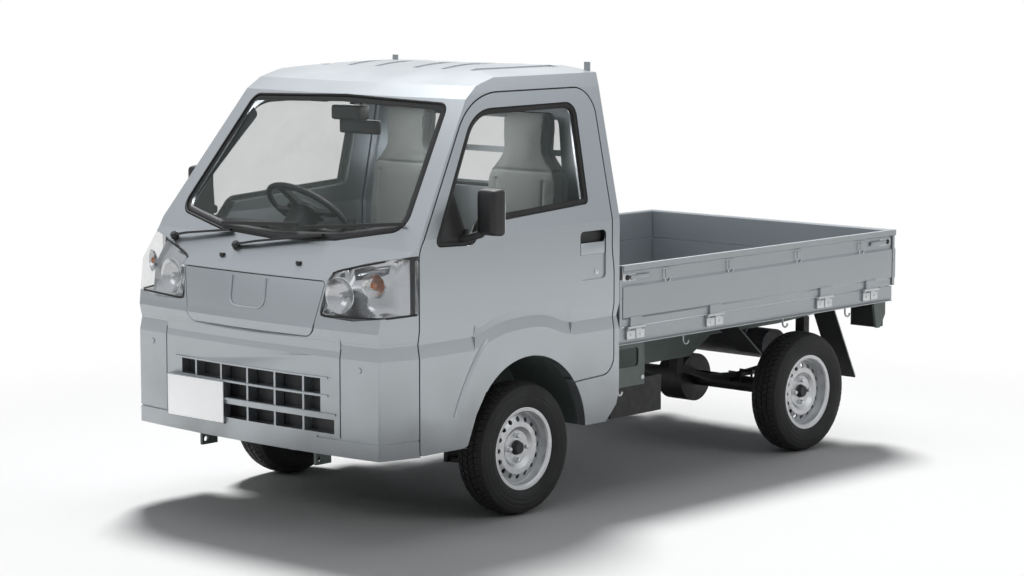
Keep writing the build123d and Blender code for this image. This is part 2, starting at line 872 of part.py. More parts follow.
# Wipers: two arms parked along the foot of the windscreen
with BuildPart() as wipers:
    for pivot, tip, height in wiper_rows:
        path = Vector(*tip) - Vector(*pivot)
        with BuildSketch(Plane(origin=pivot, z_dir=path)):
            Rectangle(8, 14)
        extrude(amount=path.length)
        with Locations(pivot):
            Cylinder(14, height, align=(Align.CENTER, Align.CENTER, Align.MAX))
    add(skin_clear, mode=Mode.SUBTRACT)

# Load bed
bed_x = (-bed_half_width, bed_half_width)
bed_top_face = (bed_floor_top - 1, bed_floor_top)
gate_stop_z = (sill_top - 1, gate_bottom - fit)
leaf_z = (sill_bottom + 18, sill_top - 10)
ear_z = (sill_top - 12, sill_top)
strap_z = (sill_top - 2, sill_top + 45)
with BuildPart() as bed_floor:
    add(block(bed_x, (bed_front, bed_inner_rear), (bed_floor_top - bed_plate, bed_floor_top)))
    for x in groove_places:
        groove_x = (x - bed_groove[0] / 2, x + bed_groove[0] / 2)
        groove_y = (bed_inner_front + 20, bed_inner_rear - 20)
        add(block(groove_x, groove_y, (bed_floor_top - bed_groove[1], bed_floor_top)), mode=Mode.SUBTRACT)
    add(block(bed_x, (bed_front, bed_inner_front + fit), bed_top_face), mode=Mode.SUBTRACT)
    for side in (-1, 1):
        sill = sorted((side * bed_half_width, side * (bed_half_width + sill_wall)))
        flange = sorted((side * bed_half_width, side * gate_outer))
        add(block(sill, (bed_front, bed_inner_rear + sill_wall), (sill_bottom, sill_top)))
        add(block(flange, (bed_front, bed_inner_rear), (sill_bottom, sill_bottom + 4)))
    tail = bed_half_width + sill_wall
    add(block((-tail, tail), (bed_inner_rear, bed_inner_rear + sill_wall), (sill_bottom, sill_top)))
    for y, bottom in cross_rows:
        half = bed_half_width if bottom > rail_top_rear else rail_x + rail_width
        cross_y = (y - cross_width / 2, y + cross_width / 2)
        add(block((-half, half), cross_y, (bottom + fit, bed_floor_top - bed_plate)))
    for y in (bed_inner_front + gate_stop_inset, bed_inner_rear - gate_stop_inset):
        for side in (-1, 1):
            stop = sorted((side * (bed_half_width + 1), side * (bed_half_width + sill_wall - 1)))
            add(block(stop, (y - gate_stop / 2, y + gate_stop / 2), gate_stop_z))
    for x in (-600, 600):
        stop = (bed_inner_rear + 1, bed_inner_rear + sill_wall - 1)
        add(block((x - gate_stop / 2, x + gate_stop / 2), stop, gate_stop_z))
    for y in hinge_places:
        for side in (-1, 1):
            leaf = sorted((side * (bed_half_width + sill_wall), side * (gate_outer - 3)))
            ear = sorted((side * (bed_half_width + sill_wall), side * hinge_x))
            add(block(leaf, (y - hinge_leaf / 2, y + hinge_leaf / 2), leaf_z))
            for end in ear_places:
                add(block(ear, (y + end - ear_width / 2, y + end + ear_width / 2), ear_z))
                with BuildSketch(Plane.XZ.offset(-(y + end))):
                    with Locations((side * hinge_x, sill_top)):
                        Circle(barrel_radius)
                extrude(amount=ear_width / 2, both=True)
    for x in tail_hinge_places:
        leaf = (bed_inner_rear + sill_wall, bed_inner_rear + gate_thickness - 3)
        ear = (bed_inner_rear + sill_wall, bed_inner_rear + gate_thickness + 3)
        add(block((x - hinge_leaf / 2, x + hinge_leaf / 2), leaf, leaf_z))
        for end in ear_places:
            add(block((x + end - ear_width / 2, x + end + ear_width / 2), ear, ear_z))
            with BuildSketch(Plane.YZ.offset(x + end)):
                with Locations((bed_inner_rear + gate_thickness + 3, sill_top)):
                    Circle(barrel_radius)
            extrude(amount=ear_width / 2, both=True)

with BuildPart() as bed_headboard:
    add(block((-gate_outer, gate_outer), (bed_front, bed_inner_front), (sill_top + fit, bed_top)))
    inside = bed_half_width - fit
    add(block((-inside, inside), (bed_front, bed_inner_front), (bed_floor_top - 1 + fit, sill_top + fit)))
    add(block((-gate_outer, gate_outer), (bed_front, bed_inner_front + 6), (bed_top - 30, bed_top)))
    groove_rear = (bed_inner_front - 4, bed_inner_front)
    add(block((-gate_outer, gate_outer), groove_rear, (gate_rib - 4, gate_rib + 4)), mode=Mode.SUBTRACT)

# Gates: one rolled section, with a top rail, a sunk band for the rope hooks and a main panel
gate_section = [
    (0, gate_bottom, 0),
    (0, gate_rib - 5, 0),
    (4, gate_rib - 2, 0),
    (4, gate_rib + 2, 0),
    (0, gate_rib + 5, 0),
    (0, bed_top - 6, 0),
    (6, bed_top, 0),
    (gate_thickness + 3, bed_top, 0),
    (gate_thickness + 3, bed_top - 24, 0),
    (gate_thickness - 8, bed_top - 30, 0),
    (gate_thickness - 8, bed_top - 82, 0),
    (gate_thickness, bed_top - 92, 0),
    (gate_thickness, gate_bottom + 40, 0),
    (gate_thickness - 6, gate_bottom + 30, 0),
    (gate_thickness - 6, gate_bottom, 0),
]
side_section = [(bed_half_width + d, z, r) for d, z, r in gate_section]
tail_section = [(bed_inner_rear + d, z, r) for d, z, r in gate_section]
with BuildPart() as gate_left:
    with BuildSketch(Plane.XZ.offset(-(bed_inner_front + panel_gap))):
        with BuildLine():
            add(outline(side_section))
        make_face()
    extrude(amount=-(bed_length - 2 * panel_gap))
    for y in hook_places:
        hook = (bed_half_width + gate_thickness - 9, bed_half_width + gate_thickness + 3)
        add(block(hook, (y - hook_seat / 2, y + hook_seat / 2), (bed_top - 75, bed_top - 38)))
    for y in hinge_places:
        strap = (gate_outer - 7, hinge_x)
        add(block(strap, (y - hinge_strap / 2, y + hinge_strap / 2), strap_z))
        with BuildSketch(Plane.XZ.offset(-y)):
            with Locations((hinge_x, sill_top)):
                Circle(barrel_radius)
        extrude(amount=hinge_strap / 2, both=True)

with BuildPart() as gate_right:
    mirror(gate_left.part, about=Plane.YZ)

with BuildPart() as tailgate:
    with BuildSketch(Plane.YZ.offset(-gate_outer)):
        with BuildLine():
            add(outline(tail_section))
        make_face()
    extrude(amount=2 * gate_outer)
    for x in tail_hinge_places:
        strap = (bed_inner_rear + gate_thickness - 7, bed_inner_rear + gate_thickness + 3)
        add(block((x - hinge_strap / 2, x + hinge_strap / 2), strap, strap_z))
        with BuildSketch(Plane.YZ.offset(x)):
            with Locations((bed_inner_rear + gate_thickness + 3, sill_top)):
                Circle(barrel_radius)
        extrude(amount=hinge_strap / 2, both=True)

# Guard frame between the cab and the bed
with BuildPart() as guard_frame:
    for side in (-1, 1):
        post = sorted((side * (guard_half_width - guard_bar), side * guard_half_width))
        add(block(post, guard_y, (bed_top - 150, crown_height + 3)))
    for z in guard_bars:
        bar_z = (z - guard_bar / 2, z + guard_bar / 2)
        add(block((-guard_half_width, guard_half_width), guard_y, bar_z))

# Ladder frame: two bent rails, and the cross members seated against them
with BuildPart() as frame_rails:
    for side in (-1, 1):
        with BuildSketch(Plane.YZ.offset(side * rail_x - rail_width / 2)):
            with BuildLine():
                add(outline(rail_rows))
            make_face()
        extrude(amount=rail_width)
        bracket = sorted((side * rail_x, side * (rail_x + rail_width / 2)))
        add(block(bracket, spring_bracket_y, (340, 445)))
        eye = sorted((side * (rail_x - tow_eye_wall / 2), side * (rail_x + tow_eye_wall / 2)))
        add(block(eye, (tow_eye[0] - 22, tow_eye[0] + 60), (tow_eye[1] - 22, 320)))
        with BuildSketch(Plane.YZ.offset(eye[0])):
            with Locations(tow_eye):
                Circle(tow_eye_radius)
        extrude(amount=tow_eye_wall, mode=Mode.SUBTRACT)

with BuildPart() as bed_brackets:
    for side in (-1, 1):
        x = sorted((side * 688, side * 700))
        add(block(x, (cab_rear + 8, cab_rear + 208), (440, bed_floor_top - bed_plate - fit)))
        with BuildSketch(Plane.YZ.offset(x[0])):
            with Locations((cab_rear + 100, 560)):
                RectangleRounded(140, 80, 18)
        extrude(amount=12, mode=Mode.SUBTRACT)
        with BuildSketch(Plane.YZ.offset(x[0])):
            with BuildLine():
                add(outline(rear_bracket_rows))
            make_face()
        extrude(amount=12)

member_half = rail_x - rail_width / 2 - fit
with BuildPart() as cross_members:
    for y, low, high in member_rows:
        add(block((-member_half, member_half), (y - 30, y + 30), (low, high)))
    for y in engine_member_places:
        reach = rail_x + 15
        add(block((-reach, reach), (y - 30, y + 30), (engine_member_bottom, engine_bottom)))
        for side in (-1, 1):
            hanger = sorted((side * (rail_x - 15), side * reach))
            add(block(hanger, (y - 30, y + 30), (engine_member_bottom, rail_bottom_front - fit)))

with BuildPart() as engine:
    add(block((-250, 250), (front_axle - 230, front_axle + 430), (engine_bottom + fit, engine_bottom + 300)))

with BuildPart() as fuel_tank:
    add(block((rail_x + rail_width / 2 + fit, 640), (bed_front + 50, bed_front + 380), (300, 452)))

with BuildPart() as exhaust:
    with BuildSketch(Plane.XZ.offset(-(front_axle + 430 + fit))):
        with Locations((-210, 380)):
            Circle(22)
    extrude(amount=-(rear_axle - front_axle - 130))
    with BuildSketch(Plane.YZ.offset(-260)):
        with Locations((rear_axle + 370, 400)):
            Ellipse(90, 70)
    extrude(amount=500)
    add(block((-225, -195), (rear_axle + 350, rear_axle + 385), (440, 530 - fit)))

# Front suspension: struts on the steering axes, lower arms and a cross member
def kingpin(z):
    """The left steering axis at height z: its place and its downward direction."""
    foot = Vector(strut_top[0] + kingpin_lean * (strut_top[1] - z), front_axle, z)
    return Plane(origin=foot, z_dir=(kingpin_lean, 0, -1))


with BuildPart() as strut_and_arm:
    with BuildSketch(kingpin(strut_top[1])):
        Circle(strut_radius)
    extrude(amount=(strut_top[1] - strut_foot) / cos(kingpin_angle))
    with BuildSketch(kingpin(arm_top)):
        Circle(ball_joint_radius + 2)
    extrude(amount=30)
    add(block((rail_x - 5, 600), (front_axle - 25, front_axle + 25), (arm_top - 26, arm_top - 6)))
    hanger = (rail_x - 25, rail_x - 5)
    add(block(hanger, (front_axle - 40, front_axle + 40), (arm_top - 26, rail_bottom_front - fit)))
    add(block((0, rail_x - 5), (front_axle - 40, front_axle + 40), (245, 285)))

with BuildPart() as front_suspension:
    add(strut_and_arm.part)
    mirror(strut_and_arm.part, about=Plane.YZ)

with BuildPart() as knuckle_left:
    for back, depth, radius in hub_rows:
        with BuildSketch(Plane.YZ.offset(hub_face - back)):
            with Locations((front_axle, tyre_radius)):
                Circle(radius)
        extrude(amount=-depth)
    add(block((hub_face - 95, hub_face - 50), (front_axle - 30, front_axle + 30), (215, 345)))
    with BuildSketch(kingpin(strut_foot - fit)):
        Circle(strut_radius)
    extrude(amount=80)
    with BuildSketch(kingpin(250)):
        Circle(ball_joint_radius)
    extrude(amount=(250 - arm_top - fit) / cos(kingpin_angle))

with BuildPart() as knuckle_right:
    mirror(knuckle_left.part, about=Plane.YZ)

with BuildPart() as rear_axle_beam:
    with BuildSketch(Plane.YZ):
        with Locations((rear_axle, tyre_radius)):
            Circle(35)
    extrude(amount=track / 2 - 60, both=True)
    with BuildSketch(Plane.YZ):
        with Locations((rear_axle, tyre_radius)):
            Circle(110)
    extrude(amount=70, both=True)
    for side in (-1, 1):
        drum = side * (hub_face - 75)
        with BuildSketch(Plane.YZ.offset(drum)):
            with Locations((rear_axle, tyre_radius)):
                Circle(115)
        extrude(amount=side * 45)
        with BuildSketch(Plane.YZ.offset(drum)):
            with Locations((rear_axle, tyre_radius)):
                Circle(60)
        extrude(amount=side * (75 - fit))

with BuildPart() as leaf_springs:
    for side in (-1, 1):
        x = (side * rail_x - 25, side * rail_x + 25)
        with BuildSketch(Plane.YZ.offset(x[0])):
            with BuildLine():
                add(outline(spring_rows))
            make_face()
        extrude(amount=50)
        for y, low, high in hanger_rows:
            add(block(x, (y - 20, y + 20), (low, high)))

with BuildPart() as mudguards:
    for side in (-1, 1):
        for rows in (guard_rows, flap_rows):
            with BuildSketch(Plane.YZ.offset(side * guard_x[0])):
                with BuildLine():
                    add(outline(rows))
                make_face()
            extrude(amount=side * (guard_x[1] - guard_x[0]))

with BuildPart() as tail_lamps:
    for side in (-1, 1):
        lamp_x = sorted((side * tail_lamp_x[0], side * tail_lamp_x[1]))
        add(block(lamp_x, (bed_inner_rear - 60, bed_inner_rear), (tail_lamp_bottom, sill_bottom - fit)))

# Wheels
with BuildPart() as tyre:
    with BuildSketch(Plane.XY):
        with BuildLine():
            add(outline(tyre_rows + [(-x, r, c) for x, r, c in reversed(tyre_rows)]))
        make_face()
    revolve(axis=Axis.X)

with BuildPart() as rim:
    with BuildSketch(Plane.XY):
        with BuildLine():
            add(outline(rim_rows))
        make_face()
    revolve(axis=Axis.X)
    with BuildSketch(Plane.YZ):
        with PolarLocations(116, 16):
            Circle(10.5)
        with PolarLocations(bolt_circle / 2, 4):
            Circle(bolt_diameter / 2)
    extrude(amount=60, mode=Mode.SUBTRACT)

for place, side, y in (
    ("front_left", 1, front_axle),
    ("front_right", -1, front_axle),
    ("rear_left", 1, rear_axle),
    ("rear_right", -1, rear_axle),
):
    turn = 0 if side > 0 else 180
    with BuildPart() as tyre_here:
        with Locations(Location((side * track / 2, y, tyre_radius), (0, 0, turn))):
            add(tyre.part)
    save(tyre_here, f"tyre_{place}")
    with BuildPart() as wheel_here:
        with Locations(Location((side * track / 2, y, tyre_radius), (0, 0, turn))):
            add(rim.part)
    save(wheel_here, f"wheel_{place}")

for name, piece in (
    ("cab_roof", cab_roof),
    ("front_panel", front_panel),
    ("bumper", bumper),
    ("cab_side_left", cab_side_left),
    ("cab_side_right", cab_side_right),
    ("cab_rear_wall", cab_rear_wall),
    ("garnish_lid", garnish_lid),
    ("headlamps", headlamps),
    ("windscreen", windscreen),
    ("rear_window", rear_window),
    ("door_left", door_left),
    ("door_right", door_right),
    ("door_glass_left", door_glass_left),
    ("door_glass_right", door_glass_right),
    ("mirror_left", mirror_left),
    ("mirror_right", mirror_right),
    ("cab_floor", cab_floor_whole),
    ("dashboard", dashboard),
    ("steering_wheel", steering_wheel),
    ("seat_cushions", seat_cushions),
    ("seat_backs", seat_backs),
    ("wipers", wipers),
    ("bed_floor", bed_floor),
    ("bed_headboard", bed_headboard),
    ("gate_left", gate_left),
    ("gate_right", gate_right),
    ("tailgate", tailgate),
    ("guard_frame", guard_frame),
    ("frame_rails", frame_rails),
    ("cross_members", cross_members),
    ("bed_brackets", bed_brackets),
    ("engine", engine),
    ("fuel_tank", fuel_tank),
    ("exhaust", exhaust),
    ("front_suspension", front_suspension),
    ("knuckle_left", knuckle_left),
    ("knuckle_right", knuckle_right),
    ("rear_axle", rear_axle_beam),
    ("leaf_springs", leaf_springs),
    ("mudguards", mudguards),
    ("tail_lamps", tail_lamps),
):
    save(piece, name)
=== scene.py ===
import math

import bmesh
import bpy
from mathutils import Matrix, Vector
from mathutils.bvhtree import BVHTree


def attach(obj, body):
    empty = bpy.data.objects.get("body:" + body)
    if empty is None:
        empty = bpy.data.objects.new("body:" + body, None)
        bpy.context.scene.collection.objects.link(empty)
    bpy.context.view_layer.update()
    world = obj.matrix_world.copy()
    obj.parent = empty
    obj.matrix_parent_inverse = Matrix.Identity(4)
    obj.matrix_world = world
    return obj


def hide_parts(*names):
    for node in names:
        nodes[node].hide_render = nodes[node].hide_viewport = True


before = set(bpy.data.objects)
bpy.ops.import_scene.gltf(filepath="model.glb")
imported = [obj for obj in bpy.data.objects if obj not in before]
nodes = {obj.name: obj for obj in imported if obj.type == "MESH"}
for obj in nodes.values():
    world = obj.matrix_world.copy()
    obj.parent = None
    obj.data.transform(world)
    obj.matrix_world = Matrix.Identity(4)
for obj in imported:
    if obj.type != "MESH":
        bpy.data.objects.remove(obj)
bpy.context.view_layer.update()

# Studio: a pale floor that fades into a white room, soft lamps and a camera. The floor keeps the truck's
# shadow and is otherwise as white as the room.


class Tone:
    """A socket of a material, used in sums as if it were a plain number."""

    def __init__(self, tree, socket=None):
        self.tree = tree
        self.socket = socket

    def node(self, kind, settings=None, feeds=None, out=0):
        """A shader node with its settings and inputs; one of its outputs is the new tone."""
        made = self.tree.nodes.new("ShaderNode" + kind)
        for name, value in (settings or {}).items():
            if name == "stops":
                stops = made.color_ramp.elements
                while len(stops) > 1:
                    stops.remove(stops[-1])
                stops[0].position = value[0][0]
                stops[0].color = (*value[0][1], 1)
                for place, colour in value[1:]:
                    stops.new(place).color = (*colour, 1)
            else:
                setattr(made, name, value)
        for name, value in (feeds or {}).items():
            if isinstance(value, Tone):
                self.tree.links.new(value.socket, made.inputs[name])
            else:
                made.inputs[name].default_value = value
        return Tone(self.tree, made.outputs[out] if made.outputs else None)

    def sum(self, operation, *others):
        return self.node("Math", {"operation": operation}, dict(enumerate((self, *others))))

    def __add__(self, other):
        return self.sum("ADD", other)

    def __sub__(self, other):
        return self.sum("SUBTRACT", other)

    def __rsub__(self, other):
        return self.node("Math", {"operation": "SUBTRACT"}, {0: other, 1: self})

    def __mul__(self, other):
        return self.sum("MULTIPLY", other)

    def over(self, low, high):
        """0 below low, 1 above high, and smooth between them."""
        return self.node(
            "MapRange", {"interpolation_type": "SMOOTHSTEP", "clamp": True},
            {"Value": self, "From Min": low, "From Max": high},
        )

    def tint(self, start, end):
        """Start where the tone is 0 and end where it is 1, as a colour."""
        start, end = (c if isinstance(c, Tone) else (*c, 1) for c in (start, end))
        return self.node("Mix", {"data_type": "RGBA", "clamp_factor": True}, {0: self, 6: start, 7: end}, 2)


def new_finish(name):
    """An empty material and the tone that its nodes are made from."""
    finish = bpy.data.materials.new(name)
    finish.use_nodes = True
    finish.node_tree.nodes.clear()
    return finish, Tone(finish.node_tree)


def show(tone, shader):
    """The shader becomes the surface of the tone's material."""
    tone.node("OutputMaterial", feeds={"Surface": shader})


def seen(tone):
    """1 where the camera sees a thing straight, mirrored or through glass, and 0 where it only lights."""
    straight, mirrored, through = (
        tone.node("LightPath", out=f"Is {kind} Ray") for kind in ("Camera", "Glossy", "Transmission")
    )
    return straight + mirrored + through


floor_finish, tone = new_finish("studio floor")
floor_fade = (2.4, 4.0)
floor_half = 600
apart = tone.node("VectorMath", {"operation": "LENGTH"}, {0: tone.node("NewGeometry")}, "Value")
matte = tone.node("BsdfDiffuse", feeds={"Color": (0.9, 0.9, 0.9, 1)})
room = tone.node("Emission", feeds={"Color": seen(tone).tint((0.3, 0.3, 0.3), (1, 1, 1)), "Strength": 1.0})
show(tone, tone.node("MixShader", feeds={0: apart.over(*floor_fade), 1: matte, 2: room}))
floor_mesh = bpy.data.meshes.new("studio_floor")
floor_corners = [(x * floor_half, y * floor_half, 0) for x, y in ((-1, -1), (1, -1), (1, 1), (-1, 1))]
floor_mesh.from_pydata(floor_corners, [], [(0, 1, 2, 3)])
floor_mesh.materials.append(floor_finish)
floor = bpy.data.objects.new("studio_floor", floor_mesh)
bpy.context.collection.objects.link(floor)

world = bpy.data.worlds.new("studio room")
bpy.context.scene.world = world
world.use_nodes = True
world.node_tree.nodes.clear()
tone = Tone(world.node_tree)
high = tone.node("SeparateXYZ", feeds={0: tone.node("TexCoord")}, out="Z")
sky = high.over(0.05, 0.8).tint((0.62, 0.64, 0.66), (0.95, 0.97, 1.0))
glow = tone.node("Background", feeds={"Color": sky, "Strength": seen(tone) * 0.75 + 0.15})
tone.node("OutputWorld", feeds={"Surface": glow})


def lamp(name, place, aim, size, watts):
    """A soft rectangular lamp that hangs at a place and points at its aim."""
    light = bpy.data.lights.new(name, "AREA")
    light.shape = "RECTANGLE"
    light.size, light.size_y = size
    light.energy = watts
    holder = bpy.data.objects.new(name, light)
    holder.location = place
    holder.rotation_euler = (Vector(aim) - Vector(place)).to_track_quat("-Z", "Y").to_euler()
    bpy.context.collection.objects.link(holder)


lamp("lamp_above", (-0.3, 0.9, 4.6), (0, -0.1, 0), (4.2, 3.4), 30)
lamp("lamp_front", (-3.2, -6.5, 3.6), (0, -1, 0.9), (3.5, 2.0), 28)
lamp("lamp_side", (6.5, 1.5, 3.4), (0, 0, 0.8), (3.5, 2.0), 34)
lamp("lamp_cabin", (0, -0.80, 1.66), (0, -0.85, 0.8), (0.8, 0.35), 7)

# The key lamp stands high behind the truck's right side and throws the shadow towards the camera.
key = bpy.data.objects.new("lamp_key", bpy.data.lights.new("lamp_key", "SUN"))
key.data.energy = 3.2
key.data.angle = math.radians(14)
key.rotation_euler = Vector((-0.5, 0.55, 1.0)).to_track_quat("Z", "Y").to_euler()
bpy.context.collection.objects.link(key)

# The camera looks down at the front left corner, from twelve metres away.
back = Vector((0.6678, -0.7339, 0.1238)).normalized()
right = Vector((0, 0, 1)).cross(back).normalized()
up = back.cross(right)
eye = Vector((7.973, -8.910, 2.266))
camera = bpy.data.objects.new("camera", bpy.data.cameras.new("camera"))
camera.matrix_world = Matrix((
    (right.x, up.x, back.x, eye.x),
    (right.y, up.y, back.y, eye.y),
    (right.z, up.z, back.z, eye.z),
    (0, 0, 0, 1),
))
camera.data.lens = 97.2
camera.data.sensor_width = 36
bpy.context.collection.objects.link(camera)
bpy.context.scene.camera = camera
bpy.context.scene.view_settings.view_transform = "Standard"

# Painted cab: pressed steel sheet under silver metallic paint with a clear coat. The panels bow a little
# from top to bottom, and road dust dulls them low down.


def dirt(tone, scale=6, detail=6):
    """A blotchy tone between 0 and 1 that follows the object's own place."""
    place = tone.node("TexCoord", out="Object")
    return tone.node("TexNoise", feeds={"Vector": place, "Scale": scale, "Detail": detail})


def edge(tone):
    """1 on sharp edges and 0 on flat faces."""
    even = tone.node("NewGeometry", out="Normal")
    soft = tone.node("Bevel", {"samples": 4}, {"Radius": 0.004})
    same = tone.node("VectorMath", {"operation": "DOT_PRODUCT"}, {0: even, 1: soft}, "Value")
    return (1 - same).over(0.01, 0.12)


def paint(name, colour, metallic, rough, coat):
    """Metallic paint under a clear coat, with road dust low down and faces that bow a little."""
    finish, tone = new_finish(name)
    dust = (0.24, 0.23, 0.21)
    height = tone.node("SeparateXYZ", feeds={0: tone.node("TexCoord", out="Object")}, out="Z")
    low = (1 - height.over(0.25, 0.75)) * dirt(tone, 5).over(0.35, 0.75) * 0.3
    rise = height - 0.85
    crown = rise * rise * -0.26
    peel = dirt(tone, 220, 1) * 0.00002
    fine = dirt(tone, 900, 2)
    shade = fine.over(0.3, 0.7).tint([c * 0.93 for c in colour], [min(c * 1.06, 1) for c in colour])
    show(tone, tone.node("BsdfPrincipled", feeds={
        "Base Color": low.tint(shade, dust),
        "Metallic": (1 - low) * metallic,
        "Roughness": dirt(tone, 3).over(0.2, 0.8) * 0.06 + low * 0.4 + rough,
        "Coat Weight": (1 - low) * coat,
        "Coat Roughness": 0.05,
        "Normal": tone.node("Bump", feeds={"Height": crown + peel, "Strength": 1.0, "Distance": 1.0}),
    }))
    return finish


silver_colour = (0.40, 0.43, 0.45)
silver = paint("silver paint", silver_colour, 0.88, 0.3, 0.8)


def wear(name, finish):
    """The CAD node keeps its shape and takes this material."""
    mesh = nodes[name].data
    mesh.materials.clear()
    mesh.materials.append(finish)


for name in ("cab_roof", "front_panel", "bumper", "garnish_lid", "cab_side_left", "cab_side_right",
             "cab_rear_wall"):
    wear(name, silver)


def plastic(name, colour, rough, grain=700, depth=0.08):
    """Grained plastic or rubber, paler where it is worn and along its edges."""
    finish, tone = new_finish(name)
    rub = edge(tone)
    worn = dirt(tone, 9).over(0.3, 0.8)
    bright = [min(c * 1.8 + 0.02, 1) for c in colour]
    show(tone, tone.node("BsdfPrincipled", feeds={
        "Base Color": (rub * 0.4 + worn * 0.15).tint(colour, bright),
        "Roughness": worn * 0.15 + rough,
        "Normal": tone.node("Bump", feeds={"Height": dirt(tone, grain, 3), "Strength": depth, "Distance": 0.001}),
    }))
    return finish


black = plastic("black plastic", (0.012, 0.012, 0.013), 0.42)
soft_rubber = plastic("seal rubber", (0.01, 0.01, 0.01), 0.6, 400, 0.05)


def piece(name, mesh, finish, body, smooth=40):
    """A finished mesh becomes a named piece that rides on a body; smooth is the sharpest soft edge in degrees."""
    mesh.materials.append(finish)
    mesh.shade_smooth()
    mesh.set_sharp_from_angle(angle=math.radians(smooth))
    made = bpy.data.objects.new(name, mesh)
    bpy.context.collection.objects.link(made)
    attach(made, body)
    return made


def skin(*names):
    """The surfaces of CAD nodes, for rays to land on."""
    corners, faces = [], []
    for name in names:
        mesh = nodes[name].data
        first = len(corners)
        corners += [v.co.copy() for v in mesh.vertices]
        faces += [[first + i for i in p.vertices] for p in mesh.polygons]
    return BVHTree.FromPolygons(corners, faces)


def rounded(rows, steps=6):
    """The points of a closed outline whose corners are rounded; rows hold two places and a radius."""
    gap = 0.06
    turns = []
    for (ax, ay, _), (bx, by, r), (cx, cy, _) in zip(rows[-1:] + rows[:-1], rows, rows[1:] + rows[:1]):
        corner = Vector((bx, by))
        if not r:
            turns.append(corner)
            continue
        u = (Vector((ax, ay)) - corner).normalized()
        v = (Vector((cx, cy)) - corner).normalized()
        half = u.angle(v) / 2
        centre = corner + (u + v).normalized() * (r / math.sin(half))
        start = corner + u * (r / math.tan(half)) - centre
        end = corner + v * (r / math.tan(half)) - centre
        first = math.atan2(start.y, start.x)
        turn = (math.atan2(end.y, end.x) - first + math.pi) % (2 * math.pi) - math.pi
        for i in range(steps + 1):
            a = first + turn * i / steps
            turns.append(centre + Vector((math.cos(a), math.sin(a))) * r)
    points = []
    for a, b in zip(turns, turns[1:] + turns[:1]):
        count = max(1, round((b - a).length / gap))
        points += [a.lerp(b, i / count) for i in range(count)]
    return points


def inset(points, amount):
    """The same outline moved inwards."""
    area = sum(a.x * b.y - b.x * a.y for a, b in zip(points, points[1:] + points[:1]))
    moved = []
    for a, b, c in zip(points[-1:] + points[:-1], points, points[1:] + points[:1]):
        way = ((b - a).normalized() + (c - b).normalized()).normalized()
        moved.append(b + Vector((-way.y, way.x)) * (amount if area > 0 else -amount))
    return moved


def lay(name, tree, outer, inner, out, finish, body, lift, depth):
    """A strip between two outlines, laid on a surface that faces out: to the front or to a side."""
    out = Vector(out)
    far = 3
    corners = []
    for p in outer + inner:
        place = out * far + (Vector((0, p.x, p.y)) if out.x else Vector((p.x, 0, p.y)))
        spot = tree.ray_cast(place, -out)[0]
        if spot is None:
            raise ValueError(name + " misses the surface")
        corners.append(spot + out * lift)
    count = len(outer)
    mesh = bpy.data.meshes.new(name)
    faces = [(i, (i + 1) % count, count + (i + 1) % count, count + i) for i in range(count)]
    mesh.from_pydata(corners, [], faces)
    made = piece(name, mesh, finish, body)
    thick = made.modifiers.new("thickness", "SOLIDIFY")
    thick.thickness = depth
    thick.offset = 0


# Windscreen, rear window and door panes: tinted glass. The windscreen is bonded in, with a black ceramic
# border printed round its edge; the rear window sits in a rubber seal.

pane, tone = new_finish("tinted glass")
film = dirt(tone, 4).over(0.4, 0.9)
show(tone, tone.node("BsdfPrincipled", feeds={
    "Base Color": film.tint((0.2, 0.24, 0.225), (0.26, 0.3, 0.285)),
    "Roughness": film * 0.03 + 0.02,
    "Alpha": film * 0.05 + 0.14,
    "IOR": 1.5,
}))
for name in ("windscreen", "rear_window", "door_glass_left", "door_glass_right"):
    wear(name, pane)

border, tone = new_finish("ceramic border")
show(tone, tone.node("BsdfPrincipled", feeds={
    "Base Color": dirt(tone, 60).tint((0.008, 0.008, 0.009), (0.014, 0.014, 0.015)),
    "Roughness": dirt(tone, 12) * 0.1 + 0.38,
}))
screen_line = rounded([
    (0.650, 1.180, 0.060), (0.556, 1.650, 0.050), (0, 1.666, 0), (-0.556, 1.650, 0.050),
    (-0.650, 1.180, 0.060), (-0.330, 1.126, 0), (0, 1.112, 0), (0.330, 1.126, 0),
])
front = (0, -1, 0)
lay("windscreen_border", skin("windscreen"), inset(screen_line, 0.002), inset(screen_line, 0.03), front, border,
    "truck", 0.0008, 0.001)
lay("windscreen_seal", skin("windscreen"), inset(screen_line, 0.0005), inset(screen_line, 0.008), front,
    soft_rubber, "truck", 0.003, 0.005)


def tube(name, points, radius, finish, body, slot, closed=False, flat=None):
    """A bent rod or strip along points; flat gives its width and height instead of a round section."""
    line = bpy.data.curves.new(name, "CURVE")
    line.dimensions = "3D"
    run = line.splines.new("POLY")
    run.points.add(len(points) - 1)
    for spot, p in zip(run.points, points):
        spot.co = (*p, 1)
    run.use_cyclic_u = closed
    line.bevel_depth = radius
    line.bevel_resolution = 3
    line.use_fill_caps = True
    if flat:
        shape = bpy.data.curves.new(name + "_section", "CURVE")
        edge_line = shape.splines.new("POLY")
        edge_line.points.add(3)
        for spot, (a, b) in zip(edge_line.points, ((-1, -1), (1, -1), (1, 1), (-1, 1))):
            spot.co = (a * flat[0] / 2, b * flat[1] / 2, 0, 1)
        edge_line.use_cyclic_u = True
        section = bpy.data.objects.new(name + "_section", shape)
        line.bevel_mode = "OBJECT"
        line.bevel_object = section
    holder = bpy.data.objects.new(name, line)
    bpy.context.collection.objects.link(holder)
    mesh = bpy.data.meshes.new_from_object(holder.evaluated_get(bpy.context.evaluated_depsgraph_get()))
    bpy.data.objects.remove(holder)
    mesh.materials.clear()
    return piece(name, mesh, finish, body)


